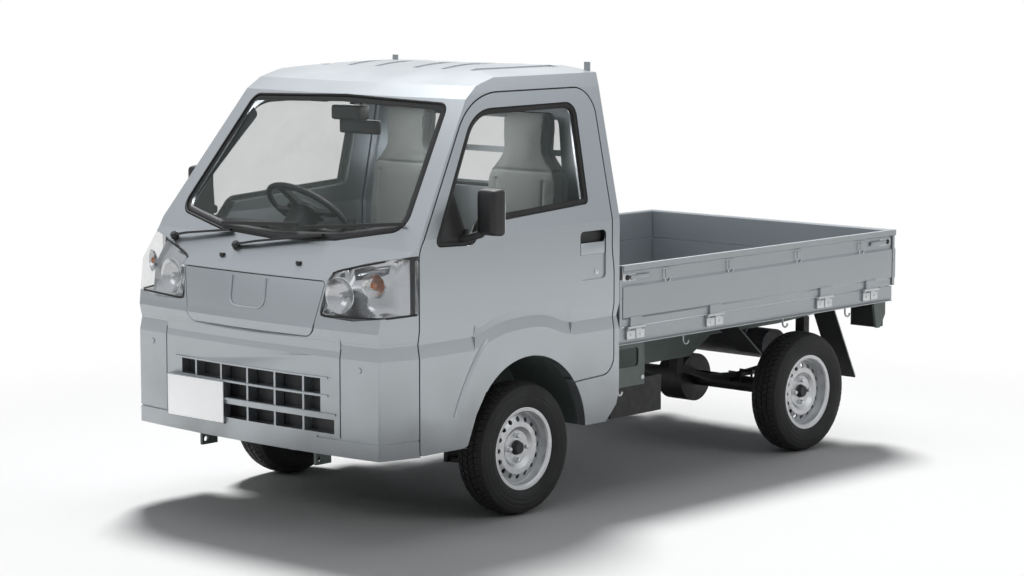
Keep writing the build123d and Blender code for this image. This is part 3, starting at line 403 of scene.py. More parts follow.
rear_wall = -0.3035
rear_rows = [(0.470, 1.240, 0.060), (0.440, 1.570, 0.060), (-0.440, 1.570, 0.060), (-0.470, 1.240, 0.060)]
rear_line = [Vector((p.x, rear_wall, p.y)) for p in inset(rounded(rear_rows), 0.004)]
tube("rear_window_seal", rear_line, 0.009, soft_rubber, "truck", "trim_plastic", closed=True)


def box(name, low, high, finish, body, slot, soft=0.003, turn=None):
    """A block with rounded edges between two corners, turned about its middle if asked."""
    low, high = Vector(low), Vector(high)
    form = bmesh.new()
    bmesh.ops.create_cube(form, size=1, matrix=Matrix.Diagonal((*(high - low), 1)))
    bmesh.ops.bevel(form, geom=form.edges[:], offset=soft, segments=3, profile=0.5, affect="EDGES")
    place = Matrix.Translation((low + high) / 2)
    if turn:
        place = place @ turn
    form.transform(place)
    mesh = bpy.data.meshes.new(name)
    form.to_mesh(mesh)
    form.free()
    return piece(name, mesh, finish, body)


def lathe(name, rows, place, axis, finish, body, slot, steps=48, smooth=40):
    """A turned piece: rows hold the distance along the axis and the radius."""
    turn = Vector((0, 0, 1)).rotation_difference(Vector(axis)).to_matrix().to_4x4()
    corners, faces = [], []
    for along, radius in rows:
        for i in range(steps):
            a = 2 * math.pi * i / steps
            corners.append((math.cos(a) * radius, math.sin(a) * radius, along))
    for ring in range(len(rows) - 1):
        for i in range(steps):
            j = (i + 1) % steps
            faces.append((ring * steps + i, ring * steps + j, (ring + 1) * steps + j, (ring + 1) * steps + i))
    mesh = bpy.data.meshes.new(name)
    mesh.from_pydata(corners, [], faces)
    form = bmesh.new()
    form.from_mesh(mesh)
    bmesh.ops.remove_doubles(form, verts=form.verts[:], dist=0.00001)
    bmesh.ops.recalc_face_normals(form, faces=form.faces[:])
    form.transform(Matrix.Translation(place) @ turn)
    form.to_mesh(mesh)
    form.free()
    return piece(name, mesh, finish, body, smooth)


# Bumper and grille: the bumper is part of the painted nose. Behind its openings lies a black duct, and two
# ultrasonic sensors sit flush in the corners.

sides = ((1, "left"), (-1, "right"))
box("grille_duct", (-0.49, -1.640, 0.395), (0.49, -1.628, 0.632), black, "truck", "trim_plastic")
for side, word in sides:
    lathe("parking_sensor_" + word, [(0, 0), (0, 0.011), (0.004, 0.0125), (0.006, 0.0125)],
          (side * 0.597, -1.6648, 0.662), (side * -0.1, 1, 0), silver, "truck", "paint", 24)

# Lid between the headlamps: a pressed panel with a raised U of rounded moulding in its middle and a black
# seal along its upper edge.

lid_skin = skin("garnish_lid")


def landed(tree, x, z):
    """Where a ray from the front meets a surface."""
    return tree.ray_cast(Vector((x, -3, z)), Vector((0, 1, 0)))[0]


moulding = [
    (-0.107, 0.972), (-0.107, 0.890), (-0.103, 0.874), (-0.090, 0.861), (-0.075, 0.857), (-0.010, 0.856),
    (0.055, 0.857), (0.070, 0.861), (0.083, 0.874), (0.087, 0.890), (0.087, 0.972),
]
tube("emblem_frame", [landed(lid_skin, x, z) + Vector((0, -0.0012, 0)) for x, z in moulding], 0.0045, silver,
     "truck", "paint")
seal_half, seal_height, seal_steps = 0.388, 0.982, 14
seal_line = [landed(lid_skin, seal_half * (2 * i / seal_steps - 1), seal_height) for i in range(seal_steps + 1)]
tube("lid_seal", [p + Vector((0, 0.0012, 0.0035)) for p in seal_line], 0.0024, soft_rubber,
     "truck", "trim_plastic")

# Licence plate: a blank white plate of pressed sheet with a raised rim, hung in front of the grille's
# right end. Plate and rim glow faintly, a painted glow that keeps them bright white.

glowing_plate_white, tone = new_finish("plate white with painted glow")
show(tone, tone.node("BsdfPrincipled", feeds={
    "Base Color": dirt(tone, 25).tint((0.8, 0.81, 0.82), (0.86, 0.87, 0.88)),
    "Roughness": dirt(tone, 40) * 0.1 + 0.3,
    # Painted glow: the plate gives off a faint white light of its own, though it is no lamp.
    "Emission Color": (1, 1, 1, 1),
    "Emission Strength": 0.4,
}))
plate_middle = Vector((-0.301, -1.6962, 0.463))
plate_half = Vector((0.165, 0.001, 0.082))
box("number_plate", plate_middle - plate_half, plate_middle + plate_half, glowing_plate_white, "truck", "paint", 0.0009)
plate_corners = [(x * plate_half.x, z * plate_half.z, 0.01) for x, z in ((-1, -1), (1, -1), (1, 1), (-1, 1))]
plate_line = [plate_middle + Vector((p.x, -0.0006, p.y)) for p in inset(rounded(plate_corners), 0.004)]
tube("number_plate_rim", plate_line, 0.0007, glowing_plate_white, "truck", "paint", closed=True)

# Headlamps: a bright bucket with a chromed bowl for the main bulb, an amber bulb in the outer bowl, and a
# clear moulded lens that wraps round the corner of the cab. Rubber seals its upper and lower edge.

chrome, tone = new_finish("lamp chrome")
show(tone, tone.node("BsdfPrincipled", feeds={
    "Base Color": dirt(tone, 30).tint((0.5, 0.51, 0.52), (0.62, 0.63, 0.64)),
    "Metallic": 1.0,
    "Roughness": dirt(tone, 60) * 0.08 + 0.14,
}))
lens, tone = new_finish("clear lens")
show(tone, tone.node("BsdfPrincipled", feeds={
    "Base Color": dirt(tone, 20).tint((0.7, 0.73, 0.75), (0.8, 0.82, 0.84)),
    "Roughness": dirt(tone, 30) * 0.04 + 0.03,
    "Alpha": dirt(tone, 50) * 0.06 + 0.16,
}))
amber, tone = new_finish("amber lens")
show(tone, tone.node("BsdfPrincipled", feeds={
    "Base Color": dirt(tone, 40).tint((0.75, 0.2, 0.03), (0.85, 0.28, 0.05)),
    "Roughness": dirt(tone, 30) * 0.05 + 0.12,
    "Alpha": dirt(tone, 60) * 0.1 + 0.8,
}))


def part_of(name, node, keep):
    """A copy of those faces of a CAD node that keep() picks."""
    form = bmesh.new()
    form.from_mesh(nodes[node].data)
    bmesh.ops.remove_doubles(form, verts=form.verts[:], dist=0.00005)
    form.normal_update()
    bmesh.ops.delete(form, geom=[f for f in form.faces if not keep(f)], context="FACES")
    mesh = bpy.data.meshes.new(name)
    form.to_mesh(mesh)
    form.free()
    return mesh


def outward(face):
    """Whether a face of the lamps looks out of the cab."""
    out = Vector((math.copysign(0.45, face.calc_center_median().x), -0.9, 0.15))
    return face.normal.dot(out) > 0.3


lamp_lens = piece("headlamp_lens", part_of("headlamp_lens", "headlamps", outward), lens, "truck", 50)
lamp_bucket = piece("headlamp_bucket", part_of("headlamp_bucket", "headlamps", lambda f: not outward(f)), chrome,
                    "truck", 50)
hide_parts("headlamps")
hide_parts("headlamps")
lamp_skin = skin("headlamps")
corner_x = 0.70


def lamp_edge(side, aims, step):
    """The lens's edge: rays that miss it are sent again, a step of a millimetre nearer to its middle each."""
    line = []
    for x, y, z in aims:
        way = Vector((0, 1, 0)) if y < -2 else Vector((-side, 0, 0))
        tries = (lamp_skin.ray_cast(Vector((side * x, y, z + step * k)), way)[0] for k in range(30))
        near = lamp_skin.find_nearest(Vector((side * min(x, 0.75), max(y, -1.72), z)))[0]
        line.append(next((spot for spot in tries if spot), near))
    return line


bowl_rows = [(0.0, 0.012), (0.002, 0.026), (0.008, 0.042), (0.018, 0.056), (0.032, 0.067), (0.034, 0.069),
             (0.032, 0.071)]
bulb_rows = [(0, 0.009), (0.012, 0.009), (0.014, 0.012), (0.022, 0.012), (0.027, 0.008), (0.028, 0)]
turn_bowl_rows = [(0, 0.008), (0.003, 0.022), (0.010, 0.036), (0.022, 0.046)]
turn_bulb_rows = [(0, 0.012), (0.012, 0.014), (0.022, 0.011), (0.026, 0)]
for side, word in sides:
    inner_x, inner_z, corner_z = 0.421, 1.022, 1.087
    top = [(0.392, -3, 0.860)] + [
        (inner_x + (corner_x - inner_x) * i / 8, -3, inner_z + (corner_z - inner_z) * i / 8) for i in range(7)]
    tube("headlamp_seal_top_" + word, lamp_edge(side, top, -0.001), 0.0042, soft_rubber, "truck", "trim_plastic")
    inner_x, inner_z, corner_z, rear_z = 0.388, 0.854, 0.865, 0.870
    foot = [(inner_x + (corner_x - inner_x) * i / 8, -3, inner_z + (corner_z - inner_z) * i / 8) for i in range(9)]
    foot += [(2, -1.60 + 0.022 * i, corner_z + (rear_z - corner_z) * i / 5) for i in range(6)]
    tube("headlamp_seal_foot_" + word, lamp_edge(side, foot, 0.001), 0.0042, soft_rubber, "truck", "trim_plastic")
    aim = Vector((side * 0.1, -1, 0)).normalized()
    middle = Vector((side * 0.482, -1.622, 0.938))
    lathe("headlamp_bowl_" + word, bowl_rows, middle, aim, chrome, "truck", "lamp_lens")
    lathe("headlamp_bulb_" + word, bulb_rows, middle, aim, chrome, "truck", "lamp_lens", 24)
    aim = Vector((side * 0.45, -0.9, 0)).normalized()
    middle = Vector((side * 0.628, -1.606, 0.985))
    lathe("turn_bowl_" + word, turn_bowl_rows, middle, aim, chrome, "truck", "lamp_lens")
    lathe("turn_bulb_" + word, turn_bulb_rows, middle, aim, amber, "truck", "lamp_lens", 24)

# Doors: pressed steel, with the window held in a black rubber channel. The handle is a flap in a recess
# with a dark finger pocket above it and a lock cylinder below.

for name in ("door_left", "door_right"):
    wear(name, silver)
window_line = rounded([
    (-1.4035, 1.118, 0.025), (-1.1755, 1.110, 0.040), (-1.1205, 1.186, 0.040),
    (-0.4815, 1.222, 0.025), (-0.4655, 1.632, 0.055), (-1.0705, 1.626, 0.200),
], 10)
pocket = rounded([
    (-0.5475, 1.064, 0.016), (-0.3915, 1.064, 0.016), (-0.3915, 1.112, 0.016), (-0.5475, 1.112, 0.016),
])
lock_rows = [(-0.002, 0), (-0.002, 0.012), (0.003, 0.012), (0.004, 0.01), (0.004, 0.003), (0.002, 0.0025),
             (0.002, 0)]
for side, word in sides:
    body = "door_" + word
    glass = skin("door_glass_" + word)
    lay("window_channel_" + word, glass, inset(window_line, 0.001), inset(window_line, 0.021), (side, 0, 0),
        soft_rubber, body, 0.0105, 0.006)
    lay("window_lip_" + word, glass, inset(window_line, 0.016), inset(window_line, 0.024), (side, 0, 0),
        soft_rubber, body, 0.005, 0.009)
    outside = side * 0.737
    mesh = bpy.data.meshes.new("handle_pocket_" + word)
    count = len(pocket)
    rings = [(0.001, 0.0068), (0.001, 0.028), (0.006, 0.031)]
    corners = [(outside - side * deep, p.x, p.y) for shrink, deep in rings for p in inset(pocket, shrink)]
    faces = [(r * count + i, r * count + (i + 1) % count, (r + 1) * count + (i + 1) % count, (r + 1) * count + i)
             for r in range(2) for i in range(count)]
    mesh.from_pydata(corners, [], faces + [tuple(range(2 * count, 3 * count))])
    piece("handle_pocket_" + word, mesh, black, body)
    flap = sorted((outside - side * 0.0075, outside - side * 0.001))
    box("handle_flap_" + word, (flap[0], -0.5435, 1.017), (flap[1], -0.3955, 1.066), silver, body, "paint", 0.003)
    lathe("door_lock_" + word, lock_rows, (outside - side * 0.007, -0.44, 0.944), (side, 0, 0), chrome,
          body, "paint", 24)

# Door mirrors: a grained plastic shell on a folding arm, with the glass on its rear face.

mirror_glass, tone = new_finish("mirror glass")
show(tone, tone.node("BsdfPrincipled", feeds={
    "Base Color": dirt(tone, 10).tint((0.8, 0.82, 0.84), (0.86, 0.88, 0.9)),
    "Metallic": 1.0,
    "Roughness": dirt(tone, 30) * 0.02 + 0.02,
}))
for side, word in sides:
    body = "door_" + word
    middle = Vector((side * 0.835, -1.1865, 1.245))
    form = bmesh.new()
    bmesh.ops.create_cube(form, size=1, matrix=Matrix.Diagonal((0.104, 0.070, 0.185, 1)))
    for v in form.verts:
        if v.co.y < 0:
            v.co.x *= 0.88
            v.co.z *= 0.93
    bmesh.ops.bevel(
        form, geom=form.edges[:], offset=0.022, segments=5, profile=0.6, affect="EDGES", clamp_overlap=True)
    form.transform(Matrix.Translation(middle))
    mesh = bpy.data.meshes.new("mirror_shell_" + word)
    form.to_mesh(mesh)
    form.free()
    shell = piece("mirror_shell_" + word, mesh, black, body, 60)
    arm = [(side * 0.7272, -1.235, 1.140), (side * 0.76, -1.225, 1.146), (side * 0.80, -1.205, 1.160),
           (side * 0.812, -1.195, 1.18)]
    foot = tube("mirror_arm_" + word, arm, 0.016, black, body, "trim_plastic")
    sail = piece("mirror_sail_" + word, part_of("mirror_sail_" + word, "mirror_" + word,
                 lambda f: abs(f.calc_center_median().x) < 0.7368), black, body)
    for made in (shell, foot, sail):
        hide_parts("mirror_" + word)
    box("mirror_glass_" + word, middle + Vector((-0.044, 0.034, -0.080)), middle + Vector((0.044, 0.0357, 0.080)),
        mirror_glass, body, "glass", 0.0007)

# Wipers: two arms parked along the foot of the windscreen, each with a long thin blade, and two washer
# nozzles on the scuttle.

wiper_rows = [
    ((-0.571, -1.562, 1.090), (-0.250, -1.541, 1.131), (-0.330, 1.128), (0.100, 1.150)),
    ((-0.173, -1.586, 1.082), (0.270, -1.530, 1.145), (0.140, 1.140), (0.640, 1.183)),
]
screen_skin = skin("windscreen", "front_panel", "cab_side_left", "cab_side_right")
pivot_rows = [(-0.055, 0.013), (-0.012, 0.013), (-0.012, 0.017), (0.004, 0.017), (0.010, 0.012), (0.011, 0)]
for word, (pivot, elbow, start, end) in zip(("right", "middle"), wiper_rows):
    cap = lathe("wiper_pivot_" + word, pivot_rows, pivot, (0, -0.55, 0.83), black, "truck", "trim_plastic", 24)
    bow = Vector(pivot).lerp(Vector(elbow), 0.25) + Vector((0, -0.004, 0.004))
    arm = tube("wiper_arm_" + word, [pivot, bow, elbow], 0, black, "truck", "trim_plastic", flat=(0.017, 0.009))
    blade = []
    for i in range(13):
        x = start[0] + (end[0] - start[0]) * i / 12
        z = start[1] + (end[1] - start[1]) * i / 12
        blade.append(landed(screen_skin, x, z + 0.02) + Vector((0, -0.011, 0.004)))
    rubber_edge = tube("wiper_blade_" + word, blade, 0, black, "truck", "trim_plastic", flat=(0.007, 0.014))
    for made in (cap, arm, rubber_edge):
        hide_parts("wipers")
for side, word in sides:
    spot = skin("front_panel").ray_cast(Vector((side * 0.22, -1.615, 3)), Vector((0, 0, -1)))[0]
    box("washer_nozzle_" + word, spot + Vector((-0.011, -0.008, -0.004)), spot + Vector((0.011, 0.010, 0.012)),
        black, "truck", "trim_plastic", 0.004)

# Dashboard and steering wheel: dark grained moulded plastic. The wheel has a thick rim and three spokes,
# and the dashboard's parts are added further down.

grey = plastic("cabin plastic", (0.05, 0.053, 0.053), 0.6)
wear("dashboard", grey)
wear("steering_wheel", grey)

# Chassis: bent rails, cross members and the cab's floor under grey-green primer; axles, springs and the
# fuel tank in satin black; the engine, exhaust and hubs of bare cast iron and steel.


def metal(name, colour, metallic, rough, rust=0.15):
    """Bare, plated or primed metal, brighter on its sharp edges and with a few spots of rust."""
    finish, tone = new_finish(name)
    spots = dirt(tone, 14, 8).over(0.55, 0.8) * rust
    rub = edge(tone)
    show(tone, tone.node("BsdfPrincipled", feeds={
        "Base Color": spots.tint(rub.tint(colour, [min(c * 1.3 + 0.03, 1) for c in colour]), (0.16, 0.09, 0.05)),
        "Metallic": (1 - spots) * metallic,
        "Roughness": dirt(tone, 30).over(0.2, 0.8) * 0.2 + rough,
        "Normal": tone.node("Bump", feeds={"Height": dirt(tone, 160, 4), "Strength": 0.08, "Distance": 0.001}),
    }))
    return finish


chassis_paint = metal("chassis paint", (0.13, 0.16, 0.15), 0.3, 0.42)
black_metal = metal("black metal", (0.018, 0.018, 0.018), 0.1, 0.45)
zinc = metal("zinc plate", (0.62, 0.63, 0.64), 0.9, 0.3, 0.05)
iron = metal("cast iron", (0.1, 0.1, 0.105), 0.6, 0.6, 0.4)
for name in ("cab_floor", "frame_rails", "cross_members", "bed_brackets"):
    wear(name, chassis_paint)
for name in ("fuel_tank", "front_suspension", "rear_axle", "leaf_springs"):
    wear(name, black_metal)
for name in ("engine", "exhaust", "knuckle_left", "knuckle_right"):
    wear(name, iron)
wear("mudguards", black)

# Load bed: pressed steel under the same silver paint, less metallic and with a thinner clear coat than the cab's.

bed_silver = paint("bed paint", silver_colour, 0.5, 0.36, 0.5)
for name in ("bed_floor", "bed_headboard", "gate_left", "gate_right", "tailgate", "guard_frame"):
    wear(name, bed_silver)

# Tyres and wheels: a radial tyre with four ribs of tread blocks and ringed side walls, on a pressed steel
# disc wheel held by four nuts, with a plastic cap over the hub and a rubber valve.

rubber = plastic("tyre rubber", (0.016, 0.016, 0.016), 0.7, 300, 0.15)
wheel_silver = metal("wheel silver", (0.58, 0.59, 0.6), 0.8, 0.3, 0.02)
wall_rows = [
    (-0.0497, 0.153), (-0.0537, 0.1663), (-0.058, 0.1663), (-0.0625, 0.172), (-0.0667, 0.183), (-0.0672, 0.184),
    (-0.0692, 0.190), (-0.0704, 0.198), (-0.0718, 0.199), (-0.0721, 0.2015), (-0.0710, 0.2035), (-0.0716, 0.214),
    (-0.0723, 0.2155), (-0.0723, 0.2185), (-0.0712, 0.220), (-0.0700, 0.231), (-0.0708, 0.2325), (-0.0705, 0.235),
    (-0.0692, 0.236), (-0.0672, 0.245), (-0.0612, 0.2555), (-0.0565, 0.2575),
]
rib_rows = [  # where each rib starts and ends across the tyre, its radius there, its crown and its slant
    (-0.0655, -0.0315, 0.2515, 0.2665, 0.003, 0.012), (-0.0265, -0.003, 0.2668, 0.268, 0.0004, 0.022),
    (0.003, 0.0265, 0.268, 0.2668, 0.0004, -0.022), (0.0315, 0.0655, 0.2665, 0.2515, 0.003, -0.012),
]
wheel_steps = 120
blocks = 64
block_half = 0.041
groove = 0.2565
tyre_form = bmesh.new()


def around(x, angle, radius):
    """A corner of the tyre at an angle round its axle."""
    return tyre_form.verts.new((x, math.cos(angle) * radius, math.sin(angle) * radius))


profile = wall_rows + [(-x, r) for x, r in reversed(wall_rows)]
rings = [[around(x, 2 * math.pi * i / wheel_steps, r) for i in range(wheel_steps)] for x, r in profile]
for near, far in zip(rings, rings[1:]):
    for i in range(wheel_steps):
        j = (i + 1) % wheel_steps
        tyre_form.faces.new((near[i], near[j], far[j], far[i]))
for number, (x0, x1, r0, r1, crown, slant) in enumerate(rib_rows):
    for k in range(blocks):
        middle = 2 * math.pi * (k + 0.5 * (number % 2)) / blocks
        tops, feet = [], []
        for x, r, turn in ((x0, r0, -slant), ((x0 + x1) / 2, (r0 + r1) / 2 + crown, 0), (x1, r1, slant)):
            for end in (-block_half, block_half):
                tops.append(around(x, middle + turn + end, r))
                feet.append(around(x, middle + turn + end, groove if r > 0.2575 else r - 0.004))
        for cells in ((0, 1, 3, 2), (2, 3, 5, 4)):
            tyre_form.faces.new([tops[c] for c in cells])
        for a, b in ((0, 1), (1, 3), (3, 5), (5, 4), (4, 2), (2, 0)):
            tyre_form.faces.new((tops[a], tops[b], feet[b], feet[a]))
bmesh.ops.recalc_face_normals(tyre_form, faces=tyre_form.faces[:])
tyre_mesh = bpy.data.meshes.new("tyre")
tyre_form.to_mesh(tyre_mesh)
tyre_form.free()
front_axle, rear_axle, half_track, axle_height = -0.8565, 1.0435, 0.6515, 0.268
nut_rows = [(-0.002, 0.0115), (0.004, 0.0115), (0.005, 0.0098), (0.016, 0.0098), (0.019, 0.0075), (0.020, 0.003),
            (0.020, 0)]
cap_rows = [(-0.004, 0.030), (0.003, 0.030), (0.006, 0.027), (0.018, 0.025), (0.021, 0.022), (0.0215, 0.006),
            (0.0205, 0)]
valve_rows = [(0, 0.006), (0.004, 0.006), (0.006, 0.0035), (0.018, 0.0035), (0.019, 0.0045), (0.027, 0.0045),
              (0.028, 0.003), (0.028, 0)]
for place, side, y in (("front_left", 1, front_axle), ("front_right", -1, front_axle),
                       ("rear_left", 1, rear_axle), ("rear_right", -1, rear_axle)):
    body = "wheel_" + place
    wear(body, wheel_silver)
    centre = Vector((side * half_track, y, axle_height))
    mesh = tyre_mesh.copy()
    mesh.transform(Matrix.Translation(centre))
    made = piece("tyre_tread_" + place, mesh, rubber, body, 30)
    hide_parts("tyre_" + place)
    for k in range(4):
        a = math.pi / 2 * k
        stud = centre + Vector((side * 0.016, math.cos(a) * 0.05, math.sin(a) * 0.05))
        lathe(f"wheel_nut_{place}_{k}", nut_rows, stud, (side, 0, 0), zinc, body, "bare_iron", 6, 30)
    lathe("hub_cap_" + place, cap_rows, centre + Vector((side * 0.016, 0, 0)), (side, 0, 0), black,
          body, "trim_plastic", 32)
    a = math.radians(200 if side > 0 else -20)
    stem = centre + Vector((side * 0.012, math.cos(a) * 0.132, math.sin(a) * 0.132))
    lathe("valve_" + place, valve_rows, stem, (side, math.cos(a) * -0.25, math.sin(a) * -0.25), rubber,
          body, "tyre", 16)

# Tail lamps: a black housing with a moulded lens on its rear face, red with an amber and a clear window.

wear("tail_lamps", black)
red, tone = new_finish("red lens")
flute_feeds = {"Vector": tone.node("TexCoord", out="Object"), "Scale": 40}
flutes = tone.node("TexWave", {"bands_direction": "X"}, flute_feeds)
show(tone, tone.node("BsdfPrincipled", feeds={
    "Base Color": dirt(tone, 40).tint((0.42, 0.008, 0.008), (0.55, 0.015, 0.012)),
    "Roughness": dirt(tone, 30) * 0.06 + 0.06,
    "Normal": tone.node("Bump", feeds={"Height": flutes, "Strength": 0.3, "Distance": 0.001}),
}))


def side_box(name, side, x0, x1, low, high, finish, body, slot, soft):
    """A block on one side of the truck: x0 and x1 are from its middle plane, low and high hold y and z."""
    near, far = sorted((side * x0, side * x1))
    box(name, (near, *low), (far, *high), finish, body, slot, soft)


for side, word in sides:
    for part, x0, x1, finish in (("stop", 0.546, 0.606, red), ("turn", 0.608, 0.646, amber),
                                 ("reverse", 0.648, 0.674, lens)):
        side_box(f"tail_{part}_lens_{word}", side, x0, x1, (1.6635, 0.506), (1.6665, 0.616), finish,
                 "truck", "tail_lens", 0.001)

# Bed fittings: bright folded hinge plates, wire rope hooks in the sunk band, latches at the gates' ends,
# hooks of bent rod under the sill and black caps on the ends of the headboard.

steel = (zinc, "truck", "bare_iron")
pin_rows = [(-0.056, 0), (-0.056, 0.0064), (0.056, 0.0064), (0.056, 0)]
leaf_rows = [(-0.056, -0.004, 0.678), (0.004, 0.056, 0.684)]
leaf_foot, pin_height, seat_foot, seat_top = 0.642, 0.690, 0.874, 0.917
hook_rows = [(-0.018, 0.909), (-0.019, 0.880), (-0.015, 0.864), (-0.006, 0.858), (0.006, 0.858), (0.015, 0.864),
             (0.019, 0.880), (0.018, 0.909)]
rivet_rows = [(0, 0.006), (0.0025, 0.005), (0.003, 0)]
sill_hook_rows = [(0, 0.6215), (0, 0.600), (0.006, 0.588), (0.02, 0.582), (0.034, 0.588), (0.036, 0.598)]
for side, word in sides:
    body = "gate_" + word
    out = (side, 0, 0)
    for k, y in enumerate((-0.1865, 0.3435, 1.1385, 1.4935)):
        lathe(f"hinge_pin_{word}_{k}", pin_rows, (side * 0.731, y, pin_height), (0, 1, 0), *steel, 16)
        for part, (low, high, top) in zip(("front", "rear"), leaf_rows):
            side_box(f"hinge_leaf_{word}_{k}_{part}", side, 0.7235, 0.7285, (y + low, leaf_foot), (y + high, top),
                     *steel, 0.002)
            lathe(f"hinge_bolt_{word}_{k}_{part}", [(0, 0.0065), (0.003, 0.0065), (0.004, 0.005), (0.0042, 0)],
                  (side * 0.7282, y + (low + high) / 2, 0.660), out, *steel, 6, 30)
    for k, y in enumerate((0.0235, 0.4535, 0.9435, 1.4235)):
        side_box(f"rope_hook_seat_{word}_{k}", side, 0.7185, 0.7225, (y - 0.024, seat_foot), (y + 0.024, seat_top),
                 zinc, body, "bare_iron", 0.0015)
        tube(f"rope_hook_{word}_{k}", [(side * 0.7235, y + dy, z) for dy, z in hook_rows], 0.0032,
             zinc, body, "bare_iron")
        lathe(f"rope_hook_rivet_{word}_{k}", rivet_rows, (side * 0.7225, y, 0.905), out, zinc,
              body, "bare_iron", 12)
    for part, y, way in (("front", -0.2655, 1), ("rear", 1.6565, -1)):
        near, far = sorted((y, y + way * 0.085))
        side_box(f"latch_plate_{word}_{part}", side, 0.718, 0.7235, (near, 0.884), (far, 0.916),
                 zinc, body, "bare_iron", 0.003)
        lathe(f"latch_pivot_{word}_{part}", [(0, 0.012), (0.004, 0.012), (0.006, 0.009), (0.0062, 0)],
              (side * 0.7225, y + way * 0.028, 0.900), out, black_metal, body, "black_metal", 20)
        near, far = sorted((y + way * 0.045, y + way * 0.165))
        side_box(f"latch_lever_{word}_{part}", side, 0.724, 0.7305, (near, 0.889), (far, 0.909),
                 bed_silver, body, "bed_paint", 0.003)
    for k, y in enumerate((0.13, 0.83, 1.30)):
        tube(f"sill_hook_{word}_{k}", [(side * 0.724, y + dy, z) for dy, z in sill_hook_rows], 0.0042,
             bed_silver, "truck", "bed_paint")
    side_box("headboard_end_cap_" + word, side, 0.7285, 0.7045, (-0.2917, 0.893), (-0.2747, 0.9525), black,
             "truck", "trim_plastic", 0.002)
for k, x in enumerate((-0.45, 0.45)):
    lathe(f"tail_hinge_pin_{k}", pin_rows, (x, 1.6915, pin_height), (1, 0, 0), *steel, 16)
    for part, (low, high, top) in zip(("right", "left"), leaf_rows):
        box(f"tail_hinge_leaf_{k}_{part}", (x + low, 1.684, leaf_foot), (x + high, 1.689, top), *steel, 0.002)
for k, x in enumerate((-0.5, -0.17, 0.17, 0.5)):
    box(f"tail_hook_seat_{k}", (x - 0.024, 1.6795, seat_foot), (x + 0.024, 1.6835, seat_top), zinc, "tailgate",
        "bare_iron", 0.0015)
    tube(f"tail_rope_hook_{k}", [(x + dx, 1.6845, z) for dx, z in hook_rows], 0.0032, zinc,
         "tailgate", "bare_iron")

# Chassis fittings: ribbed mud shields, bolts on the brackets, a strip along each rear flap, a bright hook
# under the front bracket, rubber bump stops over the rear axle and clamps that hold the springs to it.

bolt_rows = [(0, 0.010), (0.005, 0.010), (0.006, 0.008), (0.0062, 0)]
bolt_places = [(-0.2815, 0.640), (-0.2815, 0.462), (-0.1115, 0.640), (-0.1115, 0.470), (1.569, 0.640),
               (1.640, 0.640)]
tie_rows = [(-0.262, 0.441), (-0.262, 0.418), (-0.252, 0.406), (-0.240, 0.408), (-0.234, 0.420)]
bump_rows = [(0, 0.030), (0.012, 0.030), (0.016, 0.022), (0.040, 0.024), (0.056, 0.018), (0.062, 0.008),
             (0.063, 0)]
clamp_rows = [(0.362, 0.276), (0.362, 0.323), (0.298, 0.323), (0.298, 0.276)]
for side, word in sides:
    for k in range(7):
        x = side * (0.592 + 0.0165 * k)
        tube(f"mud_shield_rib_{word}_{k}", [(x, 0.4865, 0.651), (x, 0.6975, 0.4865)], 0.0022, black,
             "truck", "trim_plastic")
    strip = [(side * 0.7025, 1.2285, 0.652), (side * 0.7025, 1.4155, 0.298)]
    tube("flap_strip_" + word, strip, 0, bed_silver, "truck", "bed_paint", flat=(0.006, 0.005))
    for k, (y, z) in enumerate(bolt_places):
        lathe(f"bracket_bolt_{word}_{k}", bolt_rows, (side * 0.6998, y, z), (side, 0, 0), *steel, 6, 30)
    tube("tie_hook_" + word, [(side * 0.694, y, z) for y, z in tie_rows], 0.0048, *steel)
    lathe("bump_stop_" + word, bump_rows, (side * 0.33, rear_axle, 0.5195), (0, 0, -1), soft_rubber,
          "truck", "trim_plastic", 24)
    for k, y in enumerate((1.003, 1.084)):
        tube(f"spring_clamp_{word}_{k}", [(side * x, y, z) for x, z in clamp_rows], 0.006, black_metal,
             "truck", "black_metal")

# Cabin fittings: the dashboard carries a hooded cluster, vents, a radio panel, a tray and a glove box lid.
# Each door has a card, an armrest and a window crank; over the windscreen hang two visors, a camera box and
# the room mirror.

grey_part = (grey, "truck", "cabin_plastic")
black_part = (black, "truck", "trim_plastic")
box("cluster_hood", (-0.49, -1.400, 1.088), (-0.19, -1.310, 1.150), *grey_part, 0.02)
box("cluster_face", (-0.46, -1.318, 1.098), (-0.22, -1.308, 1.140), *black_part, 0.004)
box("radio_panel", (-0.09, -1.3335, 0.940), (0.11, -1.3235, 1.060), *black_part, 0.004)
for k, x in enumerate((-0.60, -0.12, 0.14, 0.60)):
    box(f"air_vent_{k}", (x - 0.045, -1.334, 1.055), (x + 0.045, -1.322, 1.082), *black_part, 0.003)
box("glove_box_lid", (0.22, -1.334, 0.890), (0.58, -1.322, 1.035), *grey_part, 0.006)
box("dash_tray", (0.16, -1.520, 1.088), (0.62, -1.360, 1.100), *black_part, 0.006)
seat_x = 0.34
for side, word in sides:
    x = side * seat_x
    box("sun_visor_" + word, (x - 0.20, -1.075, 1.602), (x + 0.20, -1.055, 1.700), *grey_part, 0.008,
        Matrix.Rotation(math.radians(-68), 4, "X"))
box("camera_box", (-0.085, -1.145, 1.560), (0.075, -1.075, 1.620), *black_part, 0.012)
box("room_mirror", (-0.125, -1.060, 1.500), (0.105, -1.040, 1.558), *black_part, 0.01)
stem_line = [(-0.01, -1.045, 1.553), (-0.01, -1.050, 1.60), (-0.01, -1.030, 1.66)]
tube("room_mirror_stem", stem_line, 0.006, *black_part)
hub = Vector((-seat_x, -1.0365, 1.170))
column_lean = math.radians(38.4)
column = Vector((0, math.sin(column_lean), math.cos(column_lean)))
boss_rows = [(-0.004, 0.058), (0.006, 0.058), (0.014, 0.052), (0.018, 0.040), (0.019, 0)]
lathe("wheel_boss", boss_rows, hub, column, grey, "steering_wheel", "cabin_plastic", 40)
